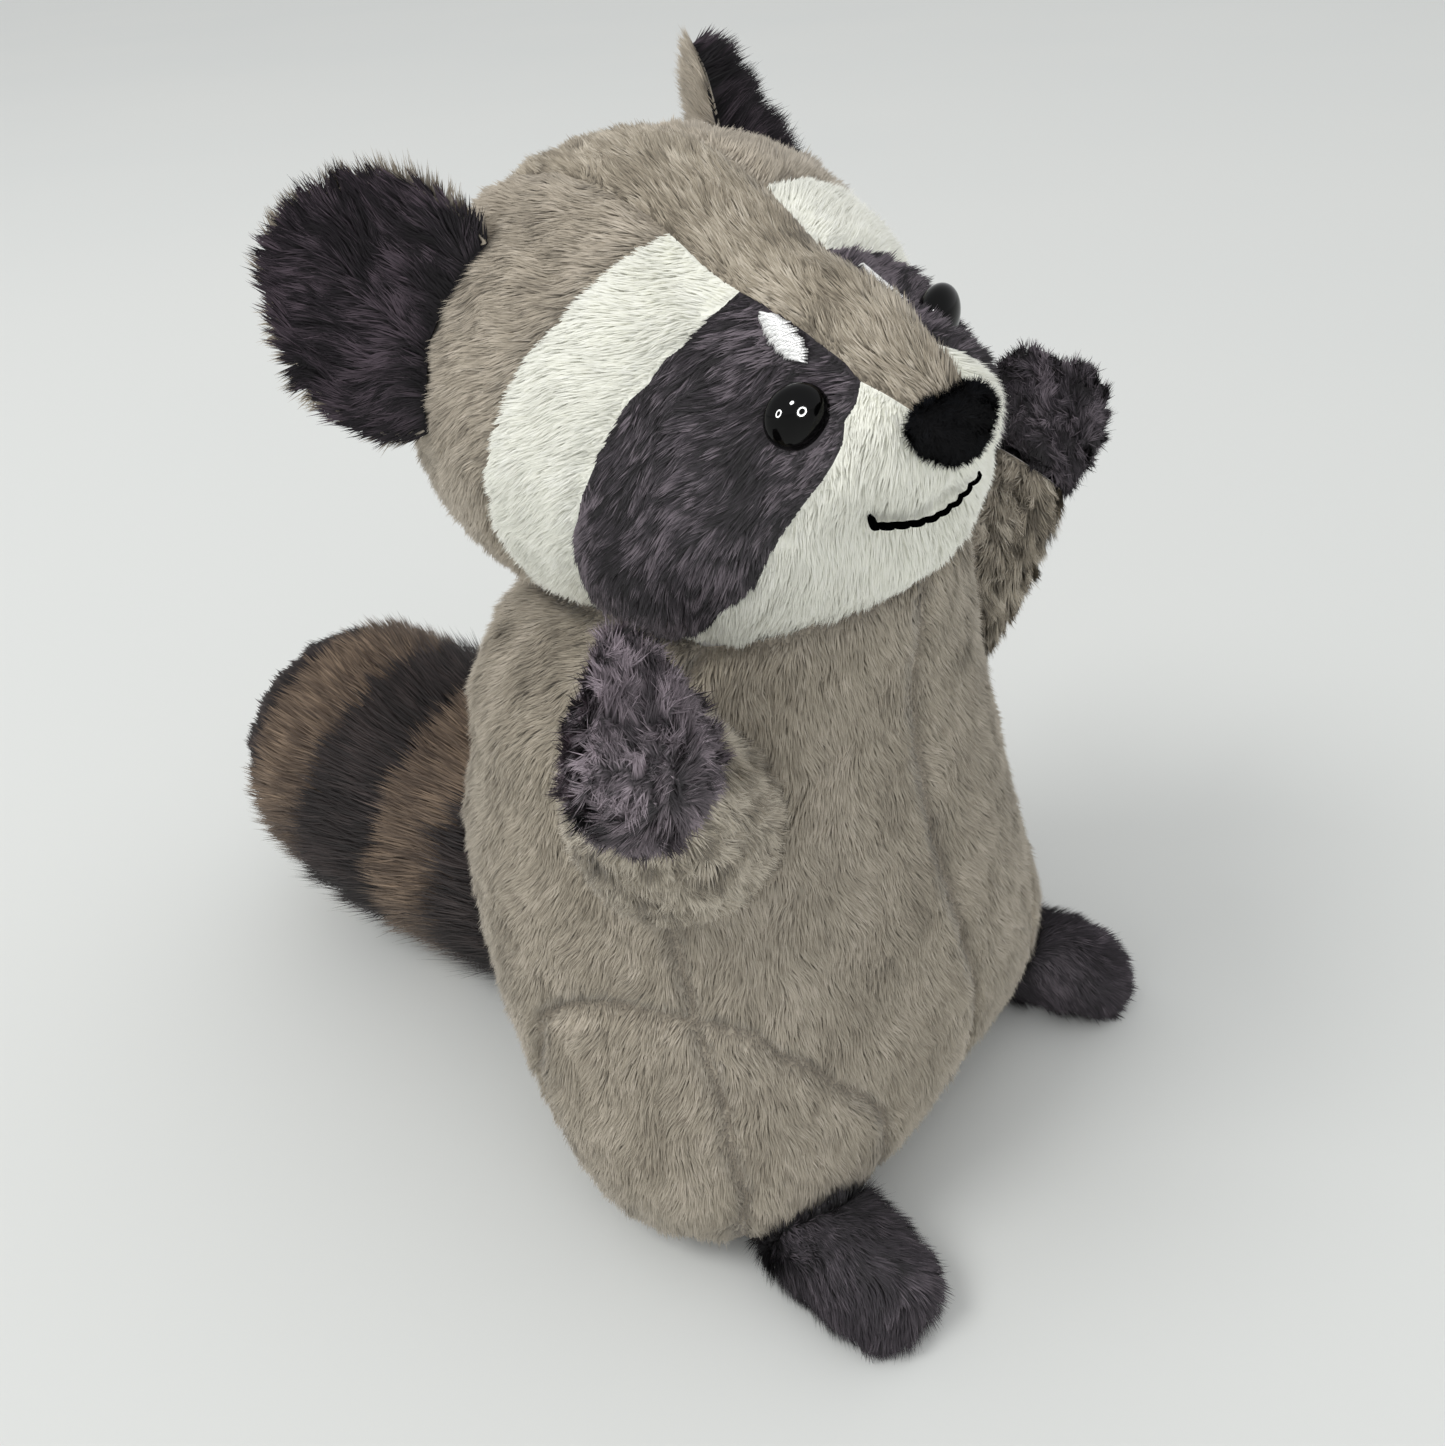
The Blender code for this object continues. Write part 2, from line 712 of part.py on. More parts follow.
# Nose: a felt pad, wide at the top, seated on the muzzle's end
at = surface_frame(NOSE_AT)
wing = NOSE_HALF_WIDTH * 0.62
nose_lobes = (
    ((-NOSE_HALF_WIDTH * 0.42, NOSE_HALF_HEIGHT * 0.25, 0.0), (wing, NOSE_HALF_HEIGHT * 0.7, NOSE_DEPTH)),
    ((NOSE_HALF_WIDTH * 0.42, NOSE_HALF_HEIGHT * 0.25, 0.0), (wing, NOSE_HALF_HEIGHT * 0.7, NOSE_DEPTH)),
    ((0.0, -NOSE_HALF_HEIGHT * 0.30, 0.0), (wing, NOSE_HALF_HEIGHT * 0.7, NOSE_DEPTH)),
)
nose = place("nose", rounded((0.0, 0.0, 0.0), nose_lobes, 8.0, 8, 16), FELT, True)
nose.matrix_local = at
combine(nose, head_envelope)
pieces["nose"] = nose

# Mouth: one line of thread laid on the muzzle, its corners turned up
mouth_curve = bpy.data.curves.new("mouth", "CURVE")
mouth_curve.dimensions = "3D"
mouth_curve.bevel_depth = THREAD_RADIUS
mouth_curve.bevel_resolution = 2
mouth_curve.use_fill_caps = True
spline = mouth_curve.splines.new("POLY")
spline.points.add(MOUTH_POINT_COUNT - 1)
for k in range(MOUTH_POINT_COUNT):
    share = 2.0 * k / (MOUTH_POINT_COUNT - 1) - 1.0
    target = (
        MOUTH_ASIDE + MOUTH_HALF_WIDTH * share,
        -MUZZLE_FORWARD - MUZZLE_HALF_LENGTH * math.sqrt(1.0 - 0.5 * share * share),
        MOUTH_UP - MOUTH_SAG * (1.0 - share * share),
    )
    at = surface_frame(target)
    spot = at.translation + at.to_3x3().col[2] * (THREAD_RADIUS + MOUTH_CLEARANCE)
    spline.points[k].co = (*spot, 1.0)
mouth = bpy.data.objects.new("mouth", mouth_curve)
bpy.context.collection.objects.link(mouth)
mouth_curve.materials.append(material("mouth", *THREAD))
mouth.parent = head_frame


def body_points(shares, azimuth):
    """Points up one line of the body; azimuth 0 is the front and grows toward +X."""
    table = (
        (0.0, BASE_BACK, BASE_HALF_WIDTH, BASE_HALF_DEPTH),
        (HEM_UP, HEM_BACK, HEM_HALF_WIDTH, HEM_HALF_DEPTH),
        (BELLY_UP, BELLY_BACK, BELLY_HALF_WIDTH, BELLY_HALF_DEPTH),
        (WAIST_UP, BODY_BACK, WAIST_HALF_WIDTH, WAIST_HALF_DEPTH),
        (CHEST_UP, BODY_BACK, CHEST_HALF_WIDTH, CHEST_HALF_DEPTH),
        (YOKE_UP, BODY_BACK, YOKE_HALF_WIDTH, YOKE_HALF_DEPTH),
    )
    turned = azimuth + BODY_TWIST
    end = HEAD_PLACE @ Vector(neck_ring(turned - HEAD_TURN)[0])
    front = Vector((math.sin(azimuth), -math.cos(azimuth), 0.0))
    rows = []
    for (up, back, half, depth), turn in zip(table, (0.0, 0.0, 0.25, 0.8, 1.0, 1.0)):
        here = azimuth + BODY_TWIST * turn
        rows.append((half * math.sin(here), back - depth * math.cos(here), up))
    rows.append(end[:])
    stations = (0.0, 0.10, 0.34, 0.57, 0.72, 0.86, 1.0)
    points = through(stations, rows, shares)
    off = (abs(azimuth) - THIGH_SWELL_AT) / 0.55
    rise = (points[:, 2] - THIGH_SWELL_UP) / 0.030
    swell = THIGH_SWELL * np.exp(-off * off - rise * rise) * np.clip(shares / 0.06, 0, 1)
    points[:, 0] += front.x * swell
    points[:, 1] += front.y * swell
    points[0, 2] = 0.0
    points[-1] = end[:]
    return points


def thigh_top(azimuth):
    """How far up the body the thigh's seam runs, as a share of the way to the neck."""
    middle = (THIGH_INNER + THIGH_OUTER) / 2
    half = (THIGH_OUTER - THIGH_INNER) / 2
    off = min(1.0, abs(abs(azimuth) - middle) / half)
    top = 0.34 + THIGH_TOP_SHARE * 0.23
    return 0.22 + (top - 0.22) * math.sqrt(1.0 - 0.93 * off * off)


def make_body_skin():
    skin = new_skin()
    half_turn = []
    for first, last, count in (
        (0.0, THIGH_INNER, 2),
        (THIGH_INNER, SIDE_SEAM, 3),
        (SIDE_SEAM, THIGH_OUTER, 4),
        (THIGH_OUTER, math.pi, 4),
    ):
        half_turn += [first + (last - first) * k / count for k in range(count)]
    azimuths = [-math.pi] + [-a for a in reversed(half_turn)] + half_turn[1:] + [math.pi]
    grid, labels = [], []
    for azimuth in azimuths:
        seam = thigh_top(azimuth)
        shares = np.concatenate(
            (
                np.linspace(0.0, seam, LOWER_ROW_COUNT + 1)[:-1],
                np.linspace(seam, 1.0, UPPER_ROW_COUNT + 1),
            )
        )
        grid.append(body_points(shares, azimuth))
    for here, there in zip(azimuths[:-1], azimuths[1:]):
        middle = (here + there) / 2
        side = 0 if middle > 0 else 4
        away = abs(middle)
        upper = 0 if away < SIDE_SEAM else 1
        lower = upper
        if THIGH_INNER < away < THIGH_OUTER:
            lower = 2 if away < SIDE_SEAM else 3
        labels.append([side + lower] * LOWER_ROW_COUNT + [side + upper] * UPPER_ROW_COUNT)
    add_grid(skin, np.array(grid), labels)
    weld(skin)
    low = [edge for edge in skin.edges if edge.is_boundary and edge.verts[0].co.z < 1e-6]
    made = bmesh.ops.contextual_create(skin, geom=low)
    layer = skin.faces.layers.int["panel"]
    for face in made["faces"]:
        face[layer] = 8
    bmesh.ops.recalc_face_normals(skin, faces=skin.faces)
    skin.normal_update()
    normals = {}
    plane = HEAD_TURNED.to_3x3() @ Vector((0.0, 0.0, 1.0))
    for corner in skin.verts:
        normal = corner.normal.copy()
        if corner.is_boundary:
            normal = (normal - plane * normal.dot(plane)).normalized()
        elif corner.co.z < 1e-6:
            normal = Vector((corner.co.x, corner.co.y - BODY_BACK, 0.0)).normalized()
            normal = Vector((normal.x, normal.y, -1.0))
        normals[corner.index] = normal
    return skin, normals, plane


body_skin, body_normals, neck_up = make_body_skin()
drop = neck_up * (-SEAM_GAP / 2)
body_envelope = cutter("cut_body", swollen(body_skin, body_normals, SEAM_GAP, -drop))
BODY_PANELS = (
    ("body_front_l", 0),
    ("body_back_l", 1),
    ("thigh_front_l", 2),
    ("thigh_back_l", 3),
    ("body_front_r", 4),
    ("body_back_r", 5),
    ("thigh_front_r", 6),
    ("thigh_back_r", 7),
    ("body_base", 8),
)
for name, number in BODY_PANELS:
    pieces[name] = place(name, panel(body_skin, body_normals, number), TAN)
pieces["body_stuffing"] = place(
    "body_stuffing", swollen(body_skin, body_normals, inside, drop), FIBRE
)


def tube(path, radii, around, wall=None, span=None, gaps=(0.0, 0.0)):
    """A tube along a span of a path. With a wall it is a sleeve, open at both ends."""
    shape = bmesh.new()
    path = [Vector(point) for point in path]
    first, last = span or (0, len(path) - 1)
    loops = {True: [], False: []}
    for i in range(first, last + 1):
        along = (path[min(i + 1, len(path) - 1)] - path[max(i - 1, 0)]).normalized()
        side = Vector((0.0, 0.0, 1.0)).cross(along).normalized()
        up = along.cross(side)
        point = path[i]
        if i == first:
            point = point + along * gaps[0]
        if i == last:
            point = point - along * gaps[1]
        for outer in (True, False):
            if not outer and wall is None:
                continue
            radius = radii[i] if outer else radii[i] - wall
            loop = []
            for k in range(around):
                a = 2 * math.pi * k / around
                loop.append(shape.verts.new(point + (side * math.cos(a) + up * math.sin(a)) * radius))
            loops[outer].append(loop)
    for stack in loops.values():
        for low, high in zip(stack[:-1], stack[1:]):
            for k in range(around):
                n = (k + 1) % around
                shape.faces.new((low[k], low[n], high[n], high[k]))
    for end in (0, -1):
        if wall is None:
            shape.faces.new(loops[True][end])
        else:
            for k in range(around):
                n = (k + 1) % around
                a, b = loops[True][end], loops[False][end]
                shape.faces.new((a[k], a[n], b[n], b[k]))
    return shape


for side, sign in (("l", 1), ("r", -1)):
    shoulder = Vector((sign * SHOULDER_OUT, -SHOULDER_FORWARD, SHOULDER_UP))
    wrist = Vector((sign * WRIST_OUT, -WRIST_FORWARD, WRIST_UP))
    start = shoulder - (wrist - shoulder) * ARM_HIDDEN_SHARE
    bend = shoulder.lerp(wrist, ARM_BEND_SHARE) - Vector((0.0, 0.0, ARM_BEND_DROP))
    shares = np.linspace(0.0, 1.0, 7)
    path = through((0.0, 0.6, 1.0), (start[:], bend[:], wrist[:]), shares)
    radii = through((0.0, 0.6, 1.0), (SHOULDER_RADIUS, (SHOULDER_RADIUS + WRIST_RADIUS) / 2, WRIST_RADIUS), shares)[:, 0]
    sleeve = place("sleeve_" + side, tube(path, radii, 16, CLOTH), TAN)
    fill = place("arm_stuffing_" + side, tube(path, radii - CLOTH - STUFFING_GAP, 16), FIBRE)
    for piece in (sleeve, fill):
        combine(piece, body_envelope)
        combine(piece, head_envelope)
        pieces[piece.name] = piece
    along = Vector(path[-1] - path[-2]).normalized()
    fingers = Vector((sign * FINGERS_WAY[0], FINGERS_WAY[1], FINGERS_WAY[2]))
    facing = Vector(LEFT_PALM_WAY if side == "l" else RIGHT_PALM_WAY)
    lobes = [((0.0, 0.0, 0.0), (HAND_HALF_WIDTH, HAND_LENGTH * 0.36, HAND_HALF_THICKNESS))]
    for k in range(4):
        lean = (k - 1.5) / 1.5
        x = lean * (HAND_HALF_WIDTH - FINGER_RADIUS)
        y = HAND_LENGTH * (0.37 - 0.07 * lean * lean)
        lobes.append(((x, y, 0.0), (FINGER_RADIUS, FINGER_RADIUS * 1.7, FINGER_RADIUS)))
    lobes.append(
        ((-sign * HAND_HALF_WIDTH * 0.85, HAND_LENGTH * 0.06, 0.0), (FINGER_RADIUS * 1.3, FINGER_RADIUS, FINGER_RADIUS))
    )
    palm_at = wrist + along * (HAND_LENGTH * 0.18) + fingers.normalized() * (HAND_LENGTH * 0.10)
    place_at = frame_at(palm_at, facing, fingers)
    lobes.append(((place_at.inverted() @ wrist)[:], (WRIST_RADIUS,) * 3))
    hand_shape = rounded((0.0, 0.0, 0.0), lobes, 7.0, 12, 18)
    bmesh.ops.transform(hand_shape, matrix=place_at, verts=hand_shape.verts)
    keep_side(hand_shape, wrist + along * SEAM_GAP, -along)
    pieces["hand_" + side] = place("hand_" + side, hand_shape, DARK)
    combine(pieces["hand_" + side], body_envelope)

    lobes = [((0.0, 0.0, FOOT_HEIGHT * 0.42), (FOOT_HALF_WIDTH, FOOT_LENGTH * 0.46, FOOT_HEIGHT * 0.56))]
    for k in range(4):
        lean = (k - 1.5) / 1.5
        x = lean * (FOOT_HALF_WIDTH - TOE_RADIUS)
        y = FOOT_LENGTH * (0.40 - 0.06 * lean * lean)
        lobes.append(((x, y, TOE_RADIUS * 1.1), (TOE_RADIUS, TOE_RADIUS * 1.3, TOE_RADIUS * 1.3)))
    foot_shape = rounded((0.0, 0.0, FOOT_HEIGHT * 0.35), lobes, 7.0, 10, 17)
    keep_side(foot_shape, Vector((0.0, 0.0, 0.0)), Vector((0.0, 0.0, -1.0)))
    foot = place("foot_" + side, foot_shape, DARK)
    foot.location = (sign * FOOT_OUT, -FOOT_FORWARD, 0.0)
    foot.rotation_euler = (0.0, 0.0, math.pi + sign * FOOT_SPLAY)
    combine(foot, body_envelope)
    pieces[foot.name] = foot

# Tail: five bands of long pile, each a sleeve over the same stuffing
rows = TAIL_BANDS * TAIL_BAND_ROW_COUNT
shares = np.linspace(0.0, 1.0, rows + 1)
tail_path = through(
    (0.0, 0.55, 1.0),
    (
        (0.0, TAIL_START_BACK, TAIL_START_UP),
        (TAIL_SIDE * 0.4, TAIL_START_BACK * 0.45 + TAIL_END_BACK * 0.55, TAIL_START_UP * 0.55 + TAIL_END_UP * 0.40),
        (TAIL_SIDE, TAIL_END_BACK, TAIL_END_UP),
    ),
    shares,
)
tail_radii = through((0.0, 0.3, 0.75, 1.0), (TAIL_ROOT_RADIUS, TAIL_RADIUS * 0.97, TAIL_RADIUS, TAIL_TIP_RADIUS), shares)[:, 0]


for band in range(TAIL_BANDS - 1):
    name = ("tail_dark_%d" if band % 2 == 0 else "tail_brown_%d") % (band + 1)
    look = TAIL_DARK if band % 2 == 0 else TAIL_BROWN
    made = tube(
        tail_path,
        tail_radii,
        TAIL_AROUND_COUNT,
        CLOTH,
        (band * TAIL_BAND_ROW_COUNT, (band + 1) * TAIL_BAND_ROW_COUNT),
        (SEAM_GAP / 2, SEAM_GAP / 2),
    )
    pieces[name] = place(name, made, look)
    if band < 2:
        combine(pieces[name], body_envelope)
tip_ring = (TAIL_BANDS - 1) * TAIL_BAND_ROW_COUNT
end = Vector(tail_path[tip_ring])
tip_along = Vector(tail_path[tip_ring + 1] - tail_path[tip_ring - 1]).normalized()
tip_radius = tail_radii[tip_ring]
tip_shape = rounded(
    (0.0, 0.0, 0.0),
    (((0.0, 0.0, 0.0), (tip_radius, tip_radius, TAIL_TIP_LENGTH)),),
    7.0,
    12,
    TAIL_AROUND_COUNT,
)
bmesh.ops.transform(tip_shape, matrix=frame_at(end, tip_along, (0.0, 0.0, 1.0)), verts=tip_shape.verts)
keep_side(tip_shape, end + tip_along * (SEAM_GAP / 2), -tip_along)
tip_name = ("tail_dark_%d" if TAIL_BANDS % 2 == 1 else "tail_brown_%d") % TAIL_BANDS
pieces[tip_name] = place(tip_name, tip_shape, TAIL_DARK if TAIL_BANDS % 2 == 1 else TAIL_BROWN)
filling = tube(
    tail_path,
    tail_radii - CLOTH - STUFFING_GAP,
    TAIL_AROUND_COUNT,
    None,
    (0, tip_ring),
    (0.0, SEAM_GAP / 2),
)
pieces["tail_stuffing"] = place("tail_stuffing", filling, FIBRE)
combine(pieces["tail_stuffing"], body_envelope)
head_skin.free()
body_skin.free()
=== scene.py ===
"""Plush raccoon sitting upright: the looks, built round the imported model."""

import math

import bmesh
import bpy
import numpy as np
from mathutils import Matrix, Vector, kdtree
from mathutils.bvhtree import BVHTree


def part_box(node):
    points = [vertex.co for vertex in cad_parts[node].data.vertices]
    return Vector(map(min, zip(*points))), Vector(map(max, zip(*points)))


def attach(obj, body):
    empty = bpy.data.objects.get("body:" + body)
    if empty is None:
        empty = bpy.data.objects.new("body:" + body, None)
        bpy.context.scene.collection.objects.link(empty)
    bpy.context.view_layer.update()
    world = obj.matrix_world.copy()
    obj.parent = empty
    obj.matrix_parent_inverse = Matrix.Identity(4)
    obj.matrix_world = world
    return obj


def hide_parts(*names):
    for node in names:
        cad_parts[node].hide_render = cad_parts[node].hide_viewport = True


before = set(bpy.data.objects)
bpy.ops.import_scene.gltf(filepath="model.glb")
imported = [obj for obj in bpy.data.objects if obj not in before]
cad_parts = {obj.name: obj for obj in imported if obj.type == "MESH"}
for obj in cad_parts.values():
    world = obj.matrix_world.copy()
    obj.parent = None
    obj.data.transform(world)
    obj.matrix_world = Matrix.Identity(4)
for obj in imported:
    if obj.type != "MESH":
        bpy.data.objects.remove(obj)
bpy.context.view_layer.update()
bpy.ops.object.select_all(action="DESELECT")

# Camera: a phone held close, in front of the toy's right side and looking down on it.
# The whole frame is 1446 pixels high and the lens is 1403 pixels long.
PHOTO_HEIGHT = 1446
LENS_IN_PIXELS = 1403
SENSOR = 36.0
CAMERA_AT = (-0.2343, -0.1569, 0.2783)
CAMERA_YAW = math.radians(54.1)
CAMERA_PITCH = math.radians(31.8)
CAMERA_ROLL = math.radians(-3.6)

forward = Vector(
    (
        math.sin(CAMERA_YAW) * math.cos(CAMERA_PITCH),
        math.cos(CAMERA_YAW) * math.cos(CAMERA_PITCH),
        -math.sin(CAMERA_PITCH),
    )
)
level = forward.cross(Vector((0.0, 0.0, 1.0))).normalized()
upright = level.cross(forward)
right = level * math.cos(CAMERA_ROLL) + upright * math.sin(CAMERA_ROLL)
top = upright * math.cos(CAMERA_ROLL) - level * math.sin(CAMERA_ROLL)
camera_data = bpy.data.cameras.new("camera")
camera_data.sensor_width = SENSOR
camera_data.lens = LENS_IN_PIXELS / PHOTO_HEIGHT * SENSOR
camera_data.clip_start = 0.01
camera = bpy.data.objects.new("camera", camera_data)
bpy.context.scene.collection.objects.link(camera)
camera_turn = Matrix((right, top, -forward)).transposed().to_4x4()
camera.matrix_world = Matrix.Translation(CAMERA_AT) @ camera_turn
bpy.context.scene.camera = camera
bpy.context.scene.view_settings.view_transform = "Standard"

# Floor: a plain pale table top of matt painted board, wide enough to fill the view.
# Its two close greys drift into each other over about half a metre.
FLOOR_SIZE = 30.0


def linear(colour):
    """An sRGB hex colour as the shader's linear values."""
    shares = [int(colour[k:k + 2], 16) / 255.0 for k in (0, 2, 4)]
    return (*[s / 12.92 if s <= 0.04045 else ((s + 0.055) / 1.055) ** 2.4 for s in shares], 1.0)


def add_node(tree, kind, settings=None, links=None):
    """Add a node; settings are its values or sockets, and links feed its sockets."""
    node = tree.nodes.new(kind)
    for key, value in (settings or {}).items():
        if isinstance(key, str) and hasattr(node, key):
            setattr(node, key, value)
        else:
            node.inputs[key].default_value = value
    for key, source in (links or {}).items():
        tree.links.new(source, node.inputs[key])
    return node


def new_material(name):
    """An empty Principled material, with its tree and shader."""
    made = bpy.data.materials.new(name)
    made.use_nodes = True
    return made, made.node_tree, made.node_tree.nodes["Principled BSDF"]


def two_tones(name, pattern, settings, one, other, roughness, shine):
    """A matt or silky material whose two colours mix by one texture on the piece itself."""
    made, tree, shader = new_material(name)
    where = add_node(tree, "ShaderNodeTexCoord").outputs["Object"]
    texture = add_node(tree, pattern, settings, {"Vector": where})
    tint = add_node(
        tree,
        "ShaderNodeMix",
        {"data_type": "RGBA", 6: linear(one), 7: linear(other)},
        {0: texture.outputs["Fac"]},
    )
    tree.links.new(tint.outputs[2], shader.inputs["Base Color"])
    shader.inputs["Roughness"].default_value = roughness
    shader.inputs["Specular IOR Level"].default_value = shine
    return made


cloudy = {"Scale": 2.0, "Detail": 2.0}
floor_finish = two_tones(
    "floor_matt_board", "ShaderNodeTexNoise", cloudy, "DADBD7", "D6D8D5", 0.85, 0.2
)
bpy.ops.mesh.primitive_plane_add(size=FLOOR_SIZE)
floor = bpy.context.object
floor.name = "floor"
floor.data.materials.append(floor_finish)

# Room light: a pale even room and one broad soft lamp above and behind the camera's left.
# The lamp isn't seen in gloss, so the eyes keep only the small rings set up further on.
LAMP_AT = Vector((-1.45, 0.85, 2.15))
LAMP_AIM = Vector((0.0, 0.0, 0.1))
world = bpy.data.worlds.new("room")
world.use_nodes = True
air = world.node_tree.nodes["Background"]
air.inputs["Color"].default_value = linear("F4F5F7")
air.inputs["Strength"].default_value = 0.92
bpy.context.scene.world = world
lamp_data = bpy.data.lights.new("lamp_over", "AREA")
lamp_data.shape = "DISK"
lamp_data.size = 1.2
lamp_data.energy = 26.0
lamp = bpy.data.objects.new("lamp_over", lamp_data)
bpy.context.scene.collection.objects.link(lamp)
lamp.location = LAMP_AT
lamp.rotation_euler = (LAMP_AIM - LAMP_AT).to_track_quat("-Z", "Y").to_euler()
lamp.visible_glossy = False

# Head: four panels of short minky pile a side of a centre gusset, sewn and turned,
# then filled firmly. The seams pull in, and the pile hides all but a soft groove.
HEAD_PLACE = (
    Matrix.Translation((0.0, 0.004, 0.150))
    @ Matrix.Rotation(math.radians(-11.3), 4, "X")
    @ Matrix.Rotation(math.radians(-6.6), 4, "Y")
    @ Matrix.Rotation(math.radians(-20.0), 4, "Z")
)
# Where the cloth lies under the CAD face, which stands for the tips of the pile
CLOTH_DEPTH = 0.0015
CLOTH_THICK = 0.0003
CLOTH_OFF_FILLING = 0.0007
FLOOR_CLEARANCE = 0.0002
# Outer CAD faces stand at least this far off the filling, and panels weld across this gap
OUTSIDE = 0.0011
WELD = 0.0006
# How far from the stitches a seam pulls the cloth in, and how far and how much painted shade darkens
# the pile along it
SEAM_STEP = 0.0006
SEAM_REACH = 0.0022
SEAM_PAINTED_SHADE = 240
SEAM_PAINTED_SHADE_REACH = 0.0012


def outer_skin(nodes, filling=None, keep=None, levels=1):
    """Weld the outer faces of some CAD panels into one smooth skin.

    Where there is a filling, the outer faces are those that stand off it and look away
    from it. Otherwise keep says by a face's normal whether it stays. Returns the skin's
    points, their normals, spots along its seams, the room each point has above the
    filling, its faces and their panel numbers.
    """
    core = None
    if filling:
        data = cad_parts[filling].data
        corners = [v.co for v in data.vertices]
        core = BVHTree.FromPolygons(corners, [p.vertices for p in data.polygons])
    shape = bmesh.new()
    for number, node in enumerate(nodes):
        part = bmesh.new()
        part.from_mesh(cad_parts[node].data)
        bmesh.ops.remove_doubles(part, verts=part.verts, dist=1e-5)
        part.normal_update()
        drop = []
        for face in part.faces:
            face.material_index = number
            middle = face.calc_center_median()
            if core:
                nearest_at, _, _, away = core.find_nearest(middle)
                if away < OUTSIDE or (middle - nearest_at).normalized().dot(face.normal) < 0.4:
                    drop.append(face)
            elif keep and not keep(face.normal):
                drop.append(face)
        bmesh.ops.delete(part, geom=drop, context="FACES")
        patch = bpy.data.meshes.new("patch")
        part.to_mesh(patch)
        part.free()
        shape.from_mesh(patch)
        bpy.data.meshes.remove(patch)
    bmesh.ops.remove_doubles(shape, verts=shape.verts, dist=WELD)
    bmesh.ops.join_triangles(
        shape,
        faces=shape.faces,
        cmp_materials=True,
        angle_face_threshold=0.7,
        angle_shape_threshold=0.9,
    )
    mesh = bpy.data.meshes.new("skin")
    shape.to_mesh(mesh)
    shape.free()
    skin = bpy.data.objects.new("skin", mesh)
    bpy.context.scene.collection.objects.link(skin)
    bpy.context.view_layer.objects.active = skin
    step = skin.modifiers.new("smooth", "SUBSURF")
    step.levels = step.render_levels = levels
    bpy.ops.object.modifier_apply(modifier="smooth")
    mesh = skin.data
    count = len(mesh.vertices)
    points = np.zeros(count * 3)
    mesh.vertices.foreach_get("co", points)
    normals = np.zeros(count * 3)
    mesh.vertices.foreach_get("normal", normals)
    faces = [tuple(p.vertices) for p in mesh.polygons]
    panels = np.array([p.material_index for p in mesh.polygons])
    uses = {}
    for face, panel in zip(faces, panels):
        for a, b in zip(face, face[1:] + face[:1]):
            uses.setdefault((min(a, b), max(a, b)), []).append(panel)
    points = points.reshape(-1, 3)
    spots = []
    for (a, b), near in uses.items():
        if len(near) > 1 and len(set(near)) == 1:
            continue
        steps = int(np.linalg.norm(points[a] - points[b]) / SEAM_STEP) + 1
        spots += [points[a] + (points[b] - points[a]) * (k / steps) for k in range(steps)]
    spots = np.array(spots) if spots else np.array(((0.0, 0.0, 9.0),))
    room = np.ones(count)
    if core:
        room = np.array([core.find_nearest(Vector(point))[3] for point in points])
    bpy.data.objects.remove(skin)
    bpy.data.meshes.remove(mesh)
    return points, normals.reshape(-1, 3), spots, room, faces, panels


def nearest(points, spots):
    """The index of the nearest spot to each point, and how far off it is."""
    tree = kdtree.KDTree(len(spots))
    for k, spot in enumerate(spots):
        tree.insert(spot, k)
    tree.balance()
    found = [tree.find(point)[1:] for point in points]
    return np.array([row[0] for row in found]), np.array([row[1] for row in found])


def waves(points, length, seed, count=7):
    """A smooth random field, about -1 to 1, whose ripples have roughly this length."""
    rng = np.random.default_rng(seed)
    total = np.zeros(len(points))
    for _ in range(count):
        way = rng.normal(size=3)
        way *= 2 * math.pi / (length * np.linalg.norm(way) * rng.uniform(0.7, 1.5))
        total += np.sin(points @ way + rng.uniform(0, 2 * math.pi))
    return total / math.sqrt(count)


def unit(rows):
    return rows / np.maximum(np.linalg.norm(rows, axis=1, keepdims=True), 1e-9)


def combed(points, strokes):
    """The way the pile is brushed at each point, blended from a few brush strokes."""
    total = np.zeros_like(points)
    for place, way in strokes:
        gap = np.linalg.norm(points - np.asarray(place), axis=1)
        total += np.asarray(way) / (gap[:, None] ** 2 + 0.008 ** 2)
    return unit(total)


def pile_finish(name, dark, middle, light, root, sheen=0.15, shine=0.15):
    """Cut pile of fine polyester fibre: matt, darker between the tufts, pale at the tips.

    The map's first axis is the tuft's tone and the second runs from its root to its tip.
    The root's colour is painted shade, for the shade deep between the tufts, and it fades
    out over the lower half of a tuft.
    """
    made, tree, shader = new_material(name)
    spot = add_node(tree, "ShaderNodeUVMap", {"uv_map": "OFBake"})
    axes = add_node(tree, "ShaderNodeSeparateXYZ", None, {0: spot.outputs["UV"]})
    tones = add_node(tree, "ShaderNodeValToRGB", None, {"Fac": axes.outputs["X"]})
    ramp = tones.color_ramp
    ramp.elements[0].color = linear(dark)
    ramp.elements[1].color = linear(light)
    ramp.elements.new(0.5).color = linear(middle)
    up = add_node(
        tree, "ShaderNodeMapRange", {"From Min": 0.0, "From Max": 0.45}, {"Value": axes.outputs["Y"]}
    )
    # Painted shade: the root colour is mixed in over the lower part of each tuft
    colour = add_node(
        tree,
        "ShaderNodeMix",
        {"data_type": "RGBA", 6: linear(root)},
        {0: up.outputs["Result"], 7: tones.outputs["Color"]},
    )
    tree.links.new(colour.outputs[2], shader.inputs["Base Color"])
    rough = add_node(
        tree, "ShaderNodeMapRange", {"To Min": 0.95, "To Max": 0.78}, {"Value": axes.outputs["Y"]}
    )
    tree.links.new(rough.outputs["Result"], shader.inputs["Roughness"])
    shader.inputs["Specular IOR Level"].default_value = shine
    shader.inputs["Sheen Weight"].default_value = sheen
    shader.inputs["Sheen Roughness"].default_value = 0.5
    return made


